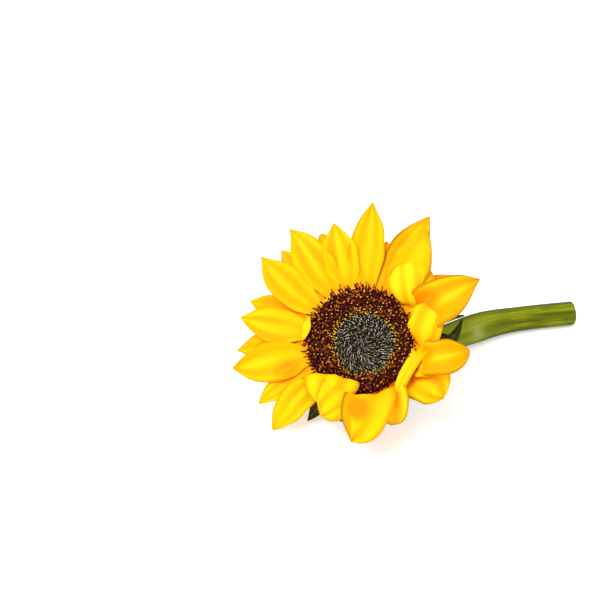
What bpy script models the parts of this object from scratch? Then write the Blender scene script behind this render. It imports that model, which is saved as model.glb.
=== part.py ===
"""A cut sunflower lying on a table: stem, involucre, ray florets, open disc florets and disc buds.

Units are metres, +Z is up, and the table is at Z = 0. The head looks towards -Y, a little to the left and upwards.
Its stem bends down behind it and lies along the table towards +X. The origin is the bottom centre of the whole flower.
"""

import math
import random
from dataclasses import dataclass

import bmesh
import bpy
from mathutils import Matrix, Vector, geometry

MM = 0.001
GAP = 0.3 * MM

# The head's place and attitude
HEAD_CENTRE = Vector((-30.3, -14.3, 40.9)) * MM
FACE_TURN = math.radians(16)
FACE_TILT = math.radians(44)

# The disc: buds a little off its middle, open florets round them. Heights are above the plane of the disc's rim.
# Places in that plane are along UP and SIDE. Each crown is shares of the way across, outwards over the buds and inwards
# over the open florets, and the heights there in millimetres.
DISC_RADIUS = 28.5 * MM
DISC_MIDDLE = Vector((0, 0))
BUD_RADIUS = 17.0 * MM
BUD_MIDDLE = Vector((-1.3, 3.1)) * MM
DISC_BOTTOM = -5.0 * MM
FLORET_SPACING = 1.81 * MM
FLORET_COUNT = 340
GOLDEN_ANGLE = math.pi * (3 - math.sqrt(5))
FLORET_TIP = 1.0 * MM
FLORET_VALLEY = 0.7 * MM
RIM_MARGIN = 1.2 * MM
DISC_SIDES = 36
BUD_CROWN = ((0, 0.47, 0.82, 1), (1.8, 2.4, 2.2, 1.4))
OPEN_CROWN = ((0, 0.22, 0.54, 0.82, 1), (1.6, 3.0, 3.2, 2.0, 0.0))
MERGE_DISTANCE = 0.0001 * MM

# The ring that carries the ray florets, under the overhanging edge of the open disc florets
RING_INNER = 24.6 * MM
RING_OUTER = 30.0 * MM
RING_TOP = -1.5 * MM

# Ray florets. Each starts inside the ring, leaves it as a flat narrow claw and then follows its own course.
ROOT_RADIUS = 26.8 * MM
CLAW_LENGTH = 4.0 * MM
CLAW_LIFT = 4
FRONT_ROOT = -2.6 * MM
BACK_ROOT = -4.1 * MM
PETAL_THICKNESS = 0.8 * MM
PETAL_SHARES = (0, 0.08, 0.17, 0.3, 0.45, 0.6, 0.75, 0.89, 1)
PETAL_COLUMNS = 4
NARROWEST = 0.5
WIDEST_AT = 0.42
WIDENING = 1.1
TAPERING = 2.0
TIP_FULLNESS = 1.2
TIP_WIDTH = 1.8 * MM
BEND_START = 0.12
STEPS_PER_ROW = 8
CUP_STATIONS = (0, 0.3, 0.75, 1)
CUP_SHARES = (0, 0.8, 1, 0.6)

# The receptacle, from the middle of its top to the middle of its neck, as radii and heights in millimetres
RECEPTACLE = (
    (0, -5.3), (28, -5.3), (29.8, -5.8), (30, -6.8), (28, -9), (24, -12), (18, -15), (12.5, -18.5), (9, -22), (8, -24),
    (0, -24),
)

# Bracts, in two whorls on the receptacle's flank
BRACT_THICKNESS = 1.0 * MM
BRACT_SHARES = (0, 0.2, 0.45, 0.7, 0.88, 1)
BRACT_COLUMNS = 2
BRACT_CLAW = 3.0 * MM
BRACT_CUP = (25, 25)
BRACT_SEED = 5
BRACT_SHIFT = 4
BRACT_LENGTH_SPREAD = 2
BRACT_SLOPE_SPREAD = 2
BRACT_SWING = 10

# The stem. Its course beyond the neck is the places of its middle, in millimetres, and lies on the table where no height
# is given. Its underside is pressed a little flat, and the scar of a leaf stands out of its front.
NECK_RADIUS = 8.0 * MM
STEM_RADIUS = 7.3 * MM
STEM_END_RADIUS = 6.85 * MM
STEM_SIDES = 24
STEM_FLAT = 0.4 * MM
RIB_HEIGHT = 0.12 * MM
NECK_LENGTH = 7.0 * MM
NECK_TAPER = 4
STEM_COURSE = (
    (-20.1, 13.4, 13.0), (-8.1, 21.0, 7.8), (8.4, 28.0), (26.9, 37.5), (47.9, 48.0), (69.4, 54.0), (96.9, 59.0),
)
STEPS_PER_STRETCH = 4
CUT_EDGE = 0.5 * MM
SCAR_PLACE = Vector((37.9, 36.5, 9.0)) * MM
SCAR_HEIGHT = 0.7 * MM
SCAR_SIZE = 4.0 * MM

# A blade that would reach the table bends along it from this height
TABLE_CLEARANCE = 0.05 * MM
BEND_HEIGHT = 3.0 * MM


@dataclass
class Blade:
    """A petal or a bract. Angles are in degrees and lengths in millimetres.

    at: where it is rooted round the disc, clockwise from the top
    lift: its slope above the disc's plane, at even places from where it starts to bend to its tip
    bearing: how far it swings away from its root's direction, at even places too
    cup: how far its left and its right margin turn up
    """

    at: float
    length: float
    width: float
    lift: tuple
    bearing: tuple = (0, 0)
    cup: tuple = (28, 28)
    back: bool = False


@dataclass
class Whorl:
    """Bracts that stand evenly round the receptacle, all rooted at one radius and height."""

    count: int
    first: float
    radius: float
    height: float
    length: float
    width: float
    lift: tuple


WHORLS = (
    Whorl(count=13, first=17, radius=26 * MM, height=-9.3 * MM, length=16, width=10, lift=(-6, -8, -12)),
    Whorl(count=13, first=31, radius=20 * MM, height=-12.3 * MM, length=19, width=10, lift=(-12, -12, -16)),
)

# Three longer bracts that show between the petals, each with the radius and height of its root
LONG_BRACTS = (
    (Blade(204, 22, 11, (-4, -4, -6), (0, 4), cup=(25, 25)), (26 * MM, -8.3 * MM)),
    (Blade(64, 27, 6, (-2, 0, 0), (0, 6), cup=(35, 35)), (26 * MM, -8.3 * MM)),
    (Blade(84, 33, 9, (-2, 4, 8), (0, -14, -62, -78), cup=(25, 25)), (25 * MM, -8.3 * MM)),
)

PETALS = (
    Blade(-5, 44, 20, (6, 4, 4, 4), (0, -1)),
    Blade(27, 38.5, 16, (35, 20, 5, 0), (-4, -14), cup=(20, 50)),
    Blade(52, 40, 16, (60, 25, 5, -40, -110), (-56, -68, -74, -75, -72), cup=(-30, -30)),
    Blade(54, 44, 24, (60, 20, 0, -5), (0, 3), cup=(60, 20)),
    Blade(71, 27, 23, (75, 50, 0, -60, -100), (0, 0, -5, -5, 0), cup=(-20, -20)),
    Blade(83, 54, 10, (50, 20, 5, -10, -30), (100, 117, 122, 122, 118), cup=(-15, -15)),
    Blade(95, 35, 21, (70, 35, -10, -25), (0, -31), cup=(20, 20)),
    Blade(117, 28.5, 26, (60, 30, -10, -30), (0, 12), cup=(30, 30)),
    Blade(155, 49, 29, (125, 80, 5, -20, -45), (0, 8, 26, 43, 54), cup=(25, 25)),
    Blade(176, 38, 19, (135, 95, 20, -15, -40), (0, 22, 42, 52, 54), cup=(-15, -15)),
    Blade(197, 40, 31, (150, 125, 30, -30, -60), (0, -2, 2, 10, 12), cup=(-30, -30)),
    Blade(217, 36.5, 18, (20, 6, -9, -18), (0, -13)),
    Blade(246, 39.5, 23, (8, 4, 0, -4), (0, 9)),
    Blade(270.7, 36, 20, (8, 4, 0, -4), (0, 4)),
    Blade(275, 12, 9, (90, 110, 140, 170)),
    Blade(297, 41, 20, (8, 4, 0, -4), (0, 13)),
    Blade(320.7, 42, 21, (8, 4, 0, -4), (0, -10)),
    Blade(337, 34.5, 19, (10, 6, 2, 0), (0, -1)),
    Blade(7, 36.5, 18, (4, 2, 0, 0), (0, 11), back=True),
    Blade(17, 45, 21, (6, 4, 2, 0), (0, 3), back=True),
    Blade(47, 35, 18, (8, 4, 0, 0), (0, 11), back=True),
    Blade(72, 20, 15, (60, 40, 10, 0), (0, -10), back=True),
    Blade(101, 22, 15, (80, 40, 0, -20), (0, 0), back=True),
    Blade(136, 31, 20, (100, 55, -10, -45), (0, 20, 36, 42)),
    Blade(146, 26, 16, (85, 40, -30, -60), (0, 30), back=True),
    Blade(230.8, 33, 15, (20, 8, 0, 0), (0, -12), back=True),
    Blade(258, 36.5, 18, (4, 2, 0, -4), (0, -7), back=True),
    Blade(281, 34, 18, (4, 2, 0, -4), (0, -3), back=True),
    Blade(308, 36, 19, (4, 2, 0, -4), (0, 3), back=True),
    Blade(331, 32.5, 18, (2, 0, -2, -4), (0, -10), back=True),
    Blade(350.8, 35.5, 18, (4, 2, 0, -4), (0, 10), back=True),
)


def head_axes():
    """Up along the disc, to its right, and straight out of its face."""
    face = Vector((
        -math.sin(FACE_TURN) * math.cos(FACE_TILT),
        -math.cos(FACE_TURN) * math.cos(FACE_TILT),
        math.sin(FACE_TILT),
    ))
    up = Vector((
        math.sin(FACE_TURN) * math.sin(FACE_TILT),
        math.cos(FACE_TURN) * math.sin(FACE_TILT),
        math.cos(FACE_TILT),
    ))
    return up, up.cross(face), face


UP, SIDE, FACE = head_axes()


def outward(angle):
    """The direction away from the disc's middle, clockwise from its top."""
    return UP * math.cos(angle) + SIDE * math.sin(angle)


def clockwise(angle):
    """The direction round the disc, square to outward."""
    return SIDE * math.cos(angle) - UP * math.sin(angle)


def on_head(radius, angle, height):
    return HEAD_CENTRE + outward(angle) * radius + FACE * height


def along_table(point, thickness):
    """The point itself, or bent smoothly along the table where it would sink in."""
    floor = TABLE_CLEARANCE + thickness / 2
    start = floor + BEND_HEIGHT
    if point.z >= start:
        return point
    height = floor + BEND_HEIGHT * math.exp((point.z - start) / BEND_HEIGHT)
    return Vector((point.x, point.y, height))


def between(stations, values, place):
    """A value read off a broken line through stations and values."""
    if place <= stations[0]:
        return values[0]
    for left, right, low, high in zip(stations, stations[1:], values, values[1:]):
        if place <= right:
            return low + (high - low) * (place - left) / (right - left)
    return values[-1]


def along_blade(at_root, values, share):
    """A value at a share of a blade's length: values stand evenly from BEND_START to the tip."""
    step = (1 - BEND_START) / (len(values) - 1)
    stations = [0] + [BEND_START + step * index for index in range(len(values))]
    return between(stations, (at_root,) + values, share)


def blade_direction(blade, share):
    """Ahead along the blade, to its right, and out of its inner face."""
    lift = math.radians(along_blade(CLAW_LIFT, blade.lift, share))
    heading = math.radians(blade.at + along_blade(0, blade.bearing, share))
    ahead = outward(heading) * math.cos(lift) + FACE * math.sin(lift)
    above = FACE * math.cos(lift) - outward(heading) * math.sin(lift)
    return ahead, clockwise(heading), above


def blade_half_width(blade, share):
    """Half the blade's width at a share of its length, from its narrow claw to its tip."""
    if share < WIDEST_AT:
        rise = math.sin(0.5 * math.pi * share / WIDEST_AT)
        profile = NARROWEST + (1 - NARROWEST) * rise ** WIDENING
    else:
        fall = (share - WIDEST_AT) / (1 - WIDEST_AT)
        profile = (1 - fall ** TAPERING) ** TIP_FULLNESS
    return max(blade.width * MM * profile, TIP_WIDTH) / 2


def blade_rows(blade, root, claw, shares, columns, thickness):
    """The blade's middle surface, as rows of points from its root to its tip.

    root is the radius and the height at which it starts, and the first row stands there.
    """
    length = blade.length * MM
    places = [-claw / length] + list(shares)
    centre = on_head(root[0], math.radians(blade.at), root[1])
    rows = []
    for place, following in zip(places, places[1:] + [None]):
        share = max(place, 0)
        _, right, above = blade_direction(blade, share)
        half = blade_half_width(blade, share)
        points = []
        for column in range(columns + 1):
            across = 2 * column / columns - 1
            margin = blade.cup[0] if across < 0 else blade.cup[1]
            turn = math.radians(margin) * between(CUP_STATIONS, CUP_SHARES, share)
            beside = half * across
            raised = 0
            if turn:
                beside = half * math.sin(turn * across) / turn
                raised = half * (1 - math.cos(turn * across)) / turn
            points.append(along_table(centre + right * beside + above * raised, thickness))
        rows.append(points)
        if following is not None:
            stride = (following - place) / STEPS_PER_ROW
            for step in range(STEPS_PER_ROW):
                ahead = blade_direction(blade, max(place + stride * (step + 0.5), 0))[0]
                centre = centre + ahead * (length * stride)
    return rows


def blade_solid(name, rows, thickness):
    """A closed blade round its middle surface, split into triangles alike on both faces."""
    last_row = len(rows) - 1
    last_column = len(rows[0]) - 1
    mesh = bmesh.new()
    upper = []
    lower = []
    for row, points in enumerate(rows):
        upper.append([])
        lower.append([])
        for column, point in enumerate(points):
            ahead = rows[min(row + 1, last_row)][column] - rows[max(row - 1, 0)][column]
            across = points[min(column + 1, last_column)] - points[max(column - 1, 0)]
            out = across.cross(ahead).normalized() * thickness / 2
            upper[row].append(mesh.verts.new(point + out))
            lower[row].append(mesh.verts.new(point - out))
    for row in range(last_row):
        for column in range(last_column):
            near = (row, column)
            right = (row, column + 1)
            far = (row + 1, column + 1)
            left = (row + 1, column)
            if column < last_column / 2:
                triangles = ((near, right, far), (near, far, left))
            else:
                triangles = ((near, right, left), (right, far, left))
            for triangle in triangles:
                mesh.faces.new([upper[r][c] for r, c in triangle])
                mesh.faces.new([lower[r][c] for r, c in reversed(triangle)])
    rim = [(0, column) for column in range(last_column)]
    rim += [(row, last_column) for row in range(last_row)]
    rim += [(last_row, column) for column in range(last_column, 0, -1)]
    rim += [(row, 0) for row in range(last_row, 0, -1)]
    for (row, column), (next_row, next_column) in zip(rim, rim[1:] + rim[:1]):
        start = lower[row][column]
        opposite = upper[next_row][next_column]
        mesh.faces.new((start, lower[next_row][next_column], opposite))
        mesh.faces.new((start, opposite, upper[row][column]))
    return finished(name, mesh)


def finished(name, mesh):
    """The mesh as an object of its own in the scene, with its faces pointing out and shaded smooth."""
    bmesh.ops.recalc_face_normals(mesh, faces=mesh.faces)
    data = bpy.data.meshes.new(name)
    mesh.to_mesh(data)
    mesh.free()
    data.shade_smooth()
    piece = bpy.data.objects.new(name, data)
    bpy.context.scene.collection.objects.link(piece)
    return piece


def circle(mesh, radius, height, middle=DISC_MIDDLE):
    """Vertices round an axis along the head's own, through a place in the disc's plane."""
    return [mesh.verts.new(above_disc(place, height)) for place in circle_places(radius, middle)]


def bridge(mesh, ring, following):
    """Faces between two rings of vertices."""
    for side in range(len(ring)):
        after = (side + 1) % len(ring)
        mesh.faces.new((ring[side], following[side], following[after], ring[after]))


def close(mesh, ring, point):
    """Faces from a ring of vertices to one point."""
    tip = mesh.verts.new(point)
    for side in range(len(ring)):
        mesh.faces.new((ring[side], ring[(side + 1) % len(ring)], tip))


def fused(piece, repeats):
    """The piece with its repeats joined into it as one body. The repeats' own objects are removed."""
    group = bpy.data.collections.new(piece.name + "_repeats")
    for repeat in repeats:
        bpy.context.scene.collection.objects.unlink(repeat)
        group.objects.link(repeat)
    union = piece.modifiers.new("Union", "BOOLEAN")
    union.operation = "UNION"
    union.operand_type = "COLLECTION"
    union.collection = group
    union.solver = "EXACT"
    evaluated = piece.evaluated_get(bpy.context.evaluated_depsgraph_get())
    joined = bpy.data.meshes.new_from_object(evaluated)
    piece.modifiers.remove(union)
    piece.data = joined
    for repeat in repeats:
        bpy.data.objects.remove(repeat)
    bpy.data.collections.remove(group)
    return piece


def painted(piece, name, colour, roughness):
    """Gives the piece a plain material of its own."""
    material = bpy.data.materials.new(name)
    material.use_nodes = True
    shader = material.node_tree.nodes["Principled BSDF"]
    shader.inputs["Base Color"].default_value = (*colour, 1)
    shader.inputs["Roughness"].default_value = roughness
    shader.inputs["Metallic"].default_value = 0
    piece.data.materials.clear()
    piece.data.materials.append(material)
    return piece


def circle_places(radius, middle):
    return [middle + in_plane(radius, 2 * math.pi * side / DISC_SIDES) for side in range(DISC_SIDES)]


def in_plane(radius, angle):
    return Vector((radius * math.cos(angle), radius * math.sin(angle)))


def above_disc(place, height):
    return HEAD_CENTRE + UP * place.x + SIDE * place.y + FACE * height


def floret_places():
    """The florets of the whole disc, on the spiral that fills it from the middle of its buds."""
    spiral = [in_plane(FLORET_SPACING * math.sqrt(index + 0.5), index * GOLDEN_ANGLE) for index in range(FLORET_COUNT)]
    return [BUD_MIDDLE + place for place in spiral]


def crown_height(place, hollow):
    """The height of the disc's top at a place on its buds, or on the open florets round their hollow."""
    from_buds = (place - BUD_MIDDLE).length
    if not hollow:
        return between(BUD_CROWN[0], BUD_CROWN[1], from_buds / BUD_RADIUS) * MM
    inward = max(from_buds - hollow, 0)
    share = inward / (inward + max(DISC_RADIUS - place.length, 0))
    return between(OPEN_CROWN[0], OPEN_CROWN[1], share) * MM


def disc_zone(name, middle, radius, hollow, underside):
    """One zone of the disc: floret tips and valleys in relief on its top, and a plain underside.

    middle and radius are of its outer edge. hollow is the radius of the hollow in it for the buds, or 0.
    underside is the rest of its section, from its outer edge to its inner one, as radii, heights and middles.
    """
    def inside(place, margin):
        clear = (place - middle).length < radius - margin
        return clear and (not hollow or (place - BUD_MIDDLE).length > hollow + margin)

    florets = [place for place in floret_places() if inside(place, RIM_MARGIN)]
    rims = circle_places(radius, middle) + (circle_places(hollow, BUD_MIDDLE) if hollow else [])
    flat = geometry.delaunay_2d_cdt(florets + rims, [], [], 0, MERGE_DISTANCE)
    valleys = []
    for triangle in flat[2]:
        centre = sum((flat[0][corner] for corner in triangle), Vector((0, 0))) / 3
        if inside(centre, RIM_MARGIN / 2):
            valleys.append(centre)
    points, _, triangles, sources, _, _ = geometry.delaunay_2d_cdt(florets + rims + valleys, [], [], 0, MERGE_DISTANCE)

    mesh = bmesh.new()
    rim_vertices = {}
    vertices = []
    for point, source in zip(points, sources):
        height = crown_height(point, hollow)
        if source[0] < len(florets):
            height += FLORET_TIP
        elif source[0] >= len(florets) + len(rims):
            height -= FLORET_VALLEY
        vertex = mesh.verts.new(above_disc(point, height))
        vertices.append(vertex)
        rim_vertices[source[0] - len(florets)] = vertex
    for triangle in triangles:
        on_hollow = [DISC_SIDES <= sources[corner][0] - len(florets) < 2 * DISC_SIDES for corner in triangle]
        if not (hollow and all(on_hollow)):
            mesh.faces.new([vertices[corner] for corner in triangle])
    rings = [[rim_vertices[side] for side in range(DISC_SIDES)]]
    rings += [circle(mesh, *ring) for ring in underside]
    if hollow:
        rings.append([rim_vertices[DISC_SIDES + side] for side in range(DISC_SIDES)])
    for ring, following in zip(rings, rings[1:]):
        bridge(mesh, ring, following)
    if not hollow:
        close(mesh, rings[-1], above_disc(middle, underside[-1][1]))
    return finished(name, mesh)


def make_disc_buds():
    underside = ((BUD_RADIUS, DISC_BOTTOM, BUD_MIDDLE),)
    piece = disc_zone("disc_buds", BUD_MIDDLE, BUD_RADIUS, 0, underside)
    return painted(piece, "closed disc florets", (0.10, 0.09, 0.05), 0.85)


def make_disc_open_florets():
    hollow = BUD_RADIUS + GAP
    step_radius = RING_INNER - GAP
    step_height = RING_TOP + GAP
    underside = (
        (DISC_RADIUS, step_height, DISC_MIDDLE), (step_radius, step_height, DISC_MIDDLE),
        (step_radius, DISC_BOTTOM, DISC_MIDDLE), (hollow, DISC_BOTTOM, BUD_MIDDLE),
    )
    piece = disc_zone("disc_open_florets", DISC_MIDDLE, DISC_RADIUS, hollow, underside)
    return painted(piece, "open disc florets", (0.09, 0.012, 0.008), 0.8)


def make_ray_florets():
    mesh = bmesh.new()
    section = (
        (RING_INNER, DISC_BOTTOM), (RING_OUTER, DISC_BOTTOM), (RING_OUTER, RING_TOP), (RING_INNER, RING_TOP),
    )
    rings = [circle(mesh, radius, height) for radius, height in section]
    for ring, following in zip(rings, rings[1:] + rings[:1]):
        bridge(mesh, ring, following)
    piece = finished("ray_florets", mesh)
    petals = []
    for number, blade in enumerate(PETALS):
        root = (ROOT_RADIUS, BACK_ROOT if blade.back else FRONT_ROOT)
        rows = blade_rows(blade, root, CLAW_LENGTH, PETAL_SHARES, PETAL_COLUMNS, PETAL_THICKNESS)
        petals.append(blade_solid(f"petal_{number}", rows, PETAL_THICKNESS))
    return painted(fused(piece, petals), "yellow petals", (0.95, 0.62, 0.01), 0.5)


def bracts():
    """All bracts, with the radius and height that each is rooted at."""
    draw = random.Random(BRACT_SEED)
    found = []
    for whorl in WHORLS:
        for number in range(whorl.count):
            at = whorl.first + 360 * number / whorl.count + draw.uniform(-BRACT_SHIFT, BRACT_SHIFT)
            length = whorl.length + draw.uniform(-BRACT_LENGTH_SPREAD, BRACT_LENGTH_SPREAD)
            slope = draw.uniform(-BRACT_SLOPE_SPREAD, BRACT_SLOPE_SPREAD)
            lift = tuple(angle + slope for angle in whorl.lift)
            bearing = (0, draw.uniform(-BRACT_SWING, BRACT_SWING))
            blade = Blade(at, length, whorl.width, lift, bearing, cup=BRACT_CUP)
            found.append((blade, (whorl.radius, whorl.height)))
    return found + list(LONG_BRACTS)


def make_involucre():
    mesh = bmesh.new()
    rings = [circle(mesh, radius * MM, height * MM) for radius, height in RECEPTACLE[1:-1]]
    for ring, following in zip(rings, rings[1:]):
        bridge(mesh, ring, following)
    close(mesh, rings[0], on_head(0, 0, RECEPTACLE[0][1] * MM))
    close(mesh, rings[-1], on_head(0, 0, RECEPTACLE[-1][1] * MM))
    piece = finished("involucre", mesh)
    leaves = []
    for number, (blade, root) in enumerate(bracts()):
        rows = blade_rows(blade, root, BRACT_CLAW, BRACT_SHARES, BRACT_COLUMNS, BRACT_THICKNESS)
        leaves.append(blade_solid(f"bract_{number}", rows, BRACT_THICKNESS))
    return painted(fused(piece, leaves), "green bracts", (0.07, 0.13, 0.02), 0.6)


def smooth_course(points):
    """Points on a smooth curve through all the given ones."""
    ends = [points[0] * 2 - points[1]] + points + [points[-1] * 2 - points[-2]]
    course = []
    for before, start, end, after in zip(ends, ends[1:], ends[2:], ends[3:]):
        for step in range(STEPS_PER_STRETCH):
            t = step / STEPS_PER_STRETCH
            course.append(0.5 * (
                2 * start + (end - before) * t + (2 * before - 5 * start + 4 * end - after) * t ** 2
                + (3 * start - before - 3 * end + after) * t ** 3
            ))
    return course + [points[-1]]


def stem_path():
    """The stem's middle points and radii, from the head to the cut end."""
    neck = on_head(0, 0, RECEPTACLE[-1][1] * MM - GAP)
    points = [neck, neck - FACE * NECK_LENGTH]
    for number, place in enumerate(STEM_COURSE):
        share = (number + 2) / (len(STEM_COURSE) + 1)
        radius = STEM_RADIUS + (STEM_END_RADIUS - STEM_RADIUS) * share
        height = place[2] * MM if len(place) > 2 else radius - STEM_FLAT
        points.append(Vector((place[0] * MM, place[1] * MM, height)))
    course = smooth_course(points)
    path = []
    for number, point in enumerate(course):
        share = number / (len(course) - 1)
        radius = STEM_RADIUS + (STEM_END_RADIUS - STEM_RADIUS) * share
        radius += (NECK_RADIUS - STEM_RADIUS) * max(1 - NECK_TAPER * share, 0) ** 2
        path.append((point, radius))
    end, radius = path.pop()
    back = (path[-1][0] - end).normalized()
    return path + [(end + back * CUT_EDGE, radius), (end, radius - CUT_EDGE)]


def make_stem():
    path = stem_path()
    mesh = bmesh.new()
    rings = []
    for number, (point, radius) in enumerate(path):
        if number == 0:
            ahead = -FACE
        else:
            ahead = path[min(number + 1, len(path) - 1)][0] - path[number - 1][0]
        side = ahead.cross(Vector((0, 0, 1))).normalized()
        top = side.cross(ahead).normalized()
        ring = []
        for corner in range(STEM_SIDES):
            angle = 2 * math.pi * corner / STEM_SIDES
            reach = radius + (RIB_HEIGHT if corner % 2 else -RIB_HEIGHT)
            direction = side * math.sin(angle) - top * math.cos(angle)
            from_scar = (point + direction * reach - SCAR_PLACE).length / SCAR_SIZE
            reach += SCAR_HEIGHT * math.exp(-from_scar ** 2)
            place = point + direction * reach
            place.z = max(place.z, 0)
            ring.append(mesh.verts.new(place))
        rings.append(ring)
    for ring, following in zip(rings, rings[1:]):
        bridge(mesh, ring, following)
    close(mesh, rings[0], path[0][0])
    close(mesh, rings[-1], path[-1][0])
    return painted(finished("stem", mesh), "green stem", (0.20, 0.27, 0.03), 0.5)


def main():
    for thing in list(bpy.data.objects):
        bpy.data.objects.remove(thing)
    make_stem()
    make_involucre()
    make_ray_florets()
    make_disc_open_florets()
    make_disc_buds()


if __name__ == "__main__":
    main()
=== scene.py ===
"""A cut sunflower on a pale table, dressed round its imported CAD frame.

Units are metres. The head looks towards -Y, a little to the left and upwards, and the stem lies along the
table to +X. Petals, bracts, stem and disc are built at full detail and stand for the frame's plain solids.
"""

import math
import random
from dataclasses import dataclass

import bpy
import numpy as np
from mathutils import Matrix, Vector


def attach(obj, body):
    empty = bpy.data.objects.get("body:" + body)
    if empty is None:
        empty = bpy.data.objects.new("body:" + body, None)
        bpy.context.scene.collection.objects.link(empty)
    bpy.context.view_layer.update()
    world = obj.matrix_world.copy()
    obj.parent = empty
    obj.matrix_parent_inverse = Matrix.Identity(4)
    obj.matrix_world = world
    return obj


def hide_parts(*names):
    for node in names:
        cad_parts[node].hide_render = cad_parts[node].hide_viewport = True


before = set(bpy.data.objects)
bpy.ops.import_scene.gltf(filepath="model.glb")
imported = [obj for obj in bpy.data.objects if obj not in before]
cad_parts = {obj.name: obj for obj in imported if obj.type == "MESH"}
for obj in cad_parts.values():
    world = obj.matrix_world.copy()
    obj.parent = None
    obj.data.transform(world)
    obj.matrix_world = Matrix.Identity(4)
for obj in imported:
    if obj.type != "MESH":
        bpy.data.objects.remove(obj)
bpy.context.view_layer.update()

bl_info = {
    "name": "Cut sunflower",
    "version": (1, 0, 0),
    "blender": (4, 5, 0),
    "location": "View3D > Sidebar > Sunflower",
    "description": "Builds a cut sunflower with petals, bracts, florets and a hairy stem round its frame",
    "category": "Add Mesh",
}

MM = 0.001
BODY = "root"
GOLDEN_ANGLE = math.pi * (3 - math.sqrt(5))

# The head's place and attitude in the frame
HEAD_CENTRE = Vector((-30.3, -14.3, 40.9)) * MM
FACE_TURN = math.radians(16)
FACE_TILT = math.radians(44)

# The middle of the buds, which the camera is set by
VIEW_CENTRE = Vector((-27.6, -16.0, 40.0)) * MM

# The disc, as heights above the plane of its rim. Places in that plane are along UP and SIDE.
DISC_RADIUS = 28.5 * MM
BUD_RADIUS = 17.0 * MM
BUD_MIDDLE = Vector((-1.3, 3.1)) * MM
DISC_BOTTOM = -5.0 * MM
BUD_CROWN = ((0, 1.8), (0.47, 2.4), (0.82, 2.2), (1, 1.6))
OPEN_CROWN = ((0, 1.6), (0.22, 3.0), (0.54, 3.2), (0.82, 2.0), (1, 0.0))
CROWN_TOP = 4.0 * MM
RIM_OVERHANG = 0.3 * MM

# The ring that carries the ray florets
RING_INNER = 24.6 * MM
RING_OUTER = 30.0 * MM
RING_TOP = -1.5 * MM
ROOT_RADIUS = 26.8 * MM
CLAW_LENGTH = 4.0 * MM
CLAW_LIFT = 4
FRONT_ROOT = -2.6 * MM
BACK_ROOT = -4.1 * MM
BEND_START = 0.12
CUP_STATIONS = (0, 0.3, 0.75, 1)
CUP_SHARES = (0, 0.8, 1, 0.6)

# The patch of painted shade that deepens a petal's colour, as shares of its length and of its half width
HOLLOW_LENGTH = 0.24
HOLLOW_WIDTH = 0.75

# The receptacle, from the middle of its top to the middle of its neck, as radii and heights in millimetres
RECEPTACLE = (
    (0, -5.3), (28, -5.3), (29.8, -5.8), (30, -6.8), (28, -9), (24, -12), (18, -15), (12.5, -18.5), (9, -22),
    (8, -24), (0, -24),
)
RIM_RADIUS = 28
LOBES = 18
LOBE_SWELL = 0.012

# A blade's tip is rounded over the last part of its length
NUB_SPAN = 0.04

# A bract's thickness, the keel and pleats along it, and the ripples in its margins
BRACT_THICKNESS = 0.75 * MM
BRACT_CLAW = 3.0 * MM
BRACT_NUB = 0.8 * MM
KEEL_DEPTH = 0.35 * MM
KEEL_WIDTH = 0.14
BRACT_PLEAT = 0.08 * MM
BRACT_PLEATS = 7
BRACT_RIPPLE = 0.5 * MM

# How much the bracts of a whorl differ, in degrees and, for their growth, in millimetres
BRACT_SHIFT = 4
BRACT_GROWTH = 2
BRACT_SLOPE = 2
BRACT_SWING = 10

# Folds and pleats have their full height on a petal of this width, in millimetres
USUAL_WIDTH = 20

# A petal's fine pleats, the bow along it, and how much its outline waves
PLEAT_HEIGHT = 0.07 * MM
BOW_HEIGHT = 0.5 * MM
OUTLINE_WAVE = 0.045

# The range that the phases of all waves are drawn from
PHASES = (0, 6.28)

# The stem, which swells at the node with the leaf scar
NECK_RADIUS = 8.0 * MM
STEM_RADIUS = 7.3 * MM
STEM_END_RADIUS = 6.85 * MM
STEM_FLAT = 0.4 * MM
NECK_OVERLAP = 0.3 * MM
NECK_LENGTH = 7.0 * MM
NECK_TAPER = 4
NODE_SWELL = 1.3 * MM
NODE_REACH = 16 * MM
CUT_EDGE = 1.2 * MM
CUT_HOLLOW = 0.25 * MM

# The stem's course beyond the neck, in millimetres. It lies on the table where no height is given.
STEM_COURSE = (
    (-20.1, 13.4, 13.0), (-8.1, 21.0, 7.8), (8.4, 28.0), (26.9, 37.5), (47.9, 48.0), (69.4, 54.0),
    (96.9, 59.0),
)

# The leaf scar, a low mound with a raised rim
SCAR_PLACE = Vector((37.9, 36.5, 9.0)) * MM
SCAR_RADIUS = 4.0 * MM
SCAR_HEIGHT = 0.7 * MM
SCAR_RIM_RADIUS = 3.4 * MM
SCAR_RIM_WIDTH = 0.9 * MM
SCAR_RIM_HEIGHT = 0.3 * MM

# How a blade, taken as this thick, bends along the table where it would sink into it
BLADE_THICKNESS = 0.5 * MM
TABLE_CLEARANCE = 0.05 * MM
BEND_HEIGHT = 3.0 * MM

# How finely the pieces are divided. Rows follow each other along a blade and columns across it.
PETAL_ROWS = 40
PETAL_COLUMNS = 21
BRACT_ROWS = 24
BRACT_COLUMNS = 13
ROW_POWER = 0.97
COLUMN_TURN = math.pi / 2 * 0.92
STRIDES = 4
DISC_SIDES = 96
RECEPTACLE_SIDES = 144
STEM_SIDES = 72
STEM_STEPS = 20
EDGE_STEPS = 6

# How far up a bristle its last ring is
BRISTLE_TIP = 0.97

# Half the floor's side
FLOOR_HALF = 3.0


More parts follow.
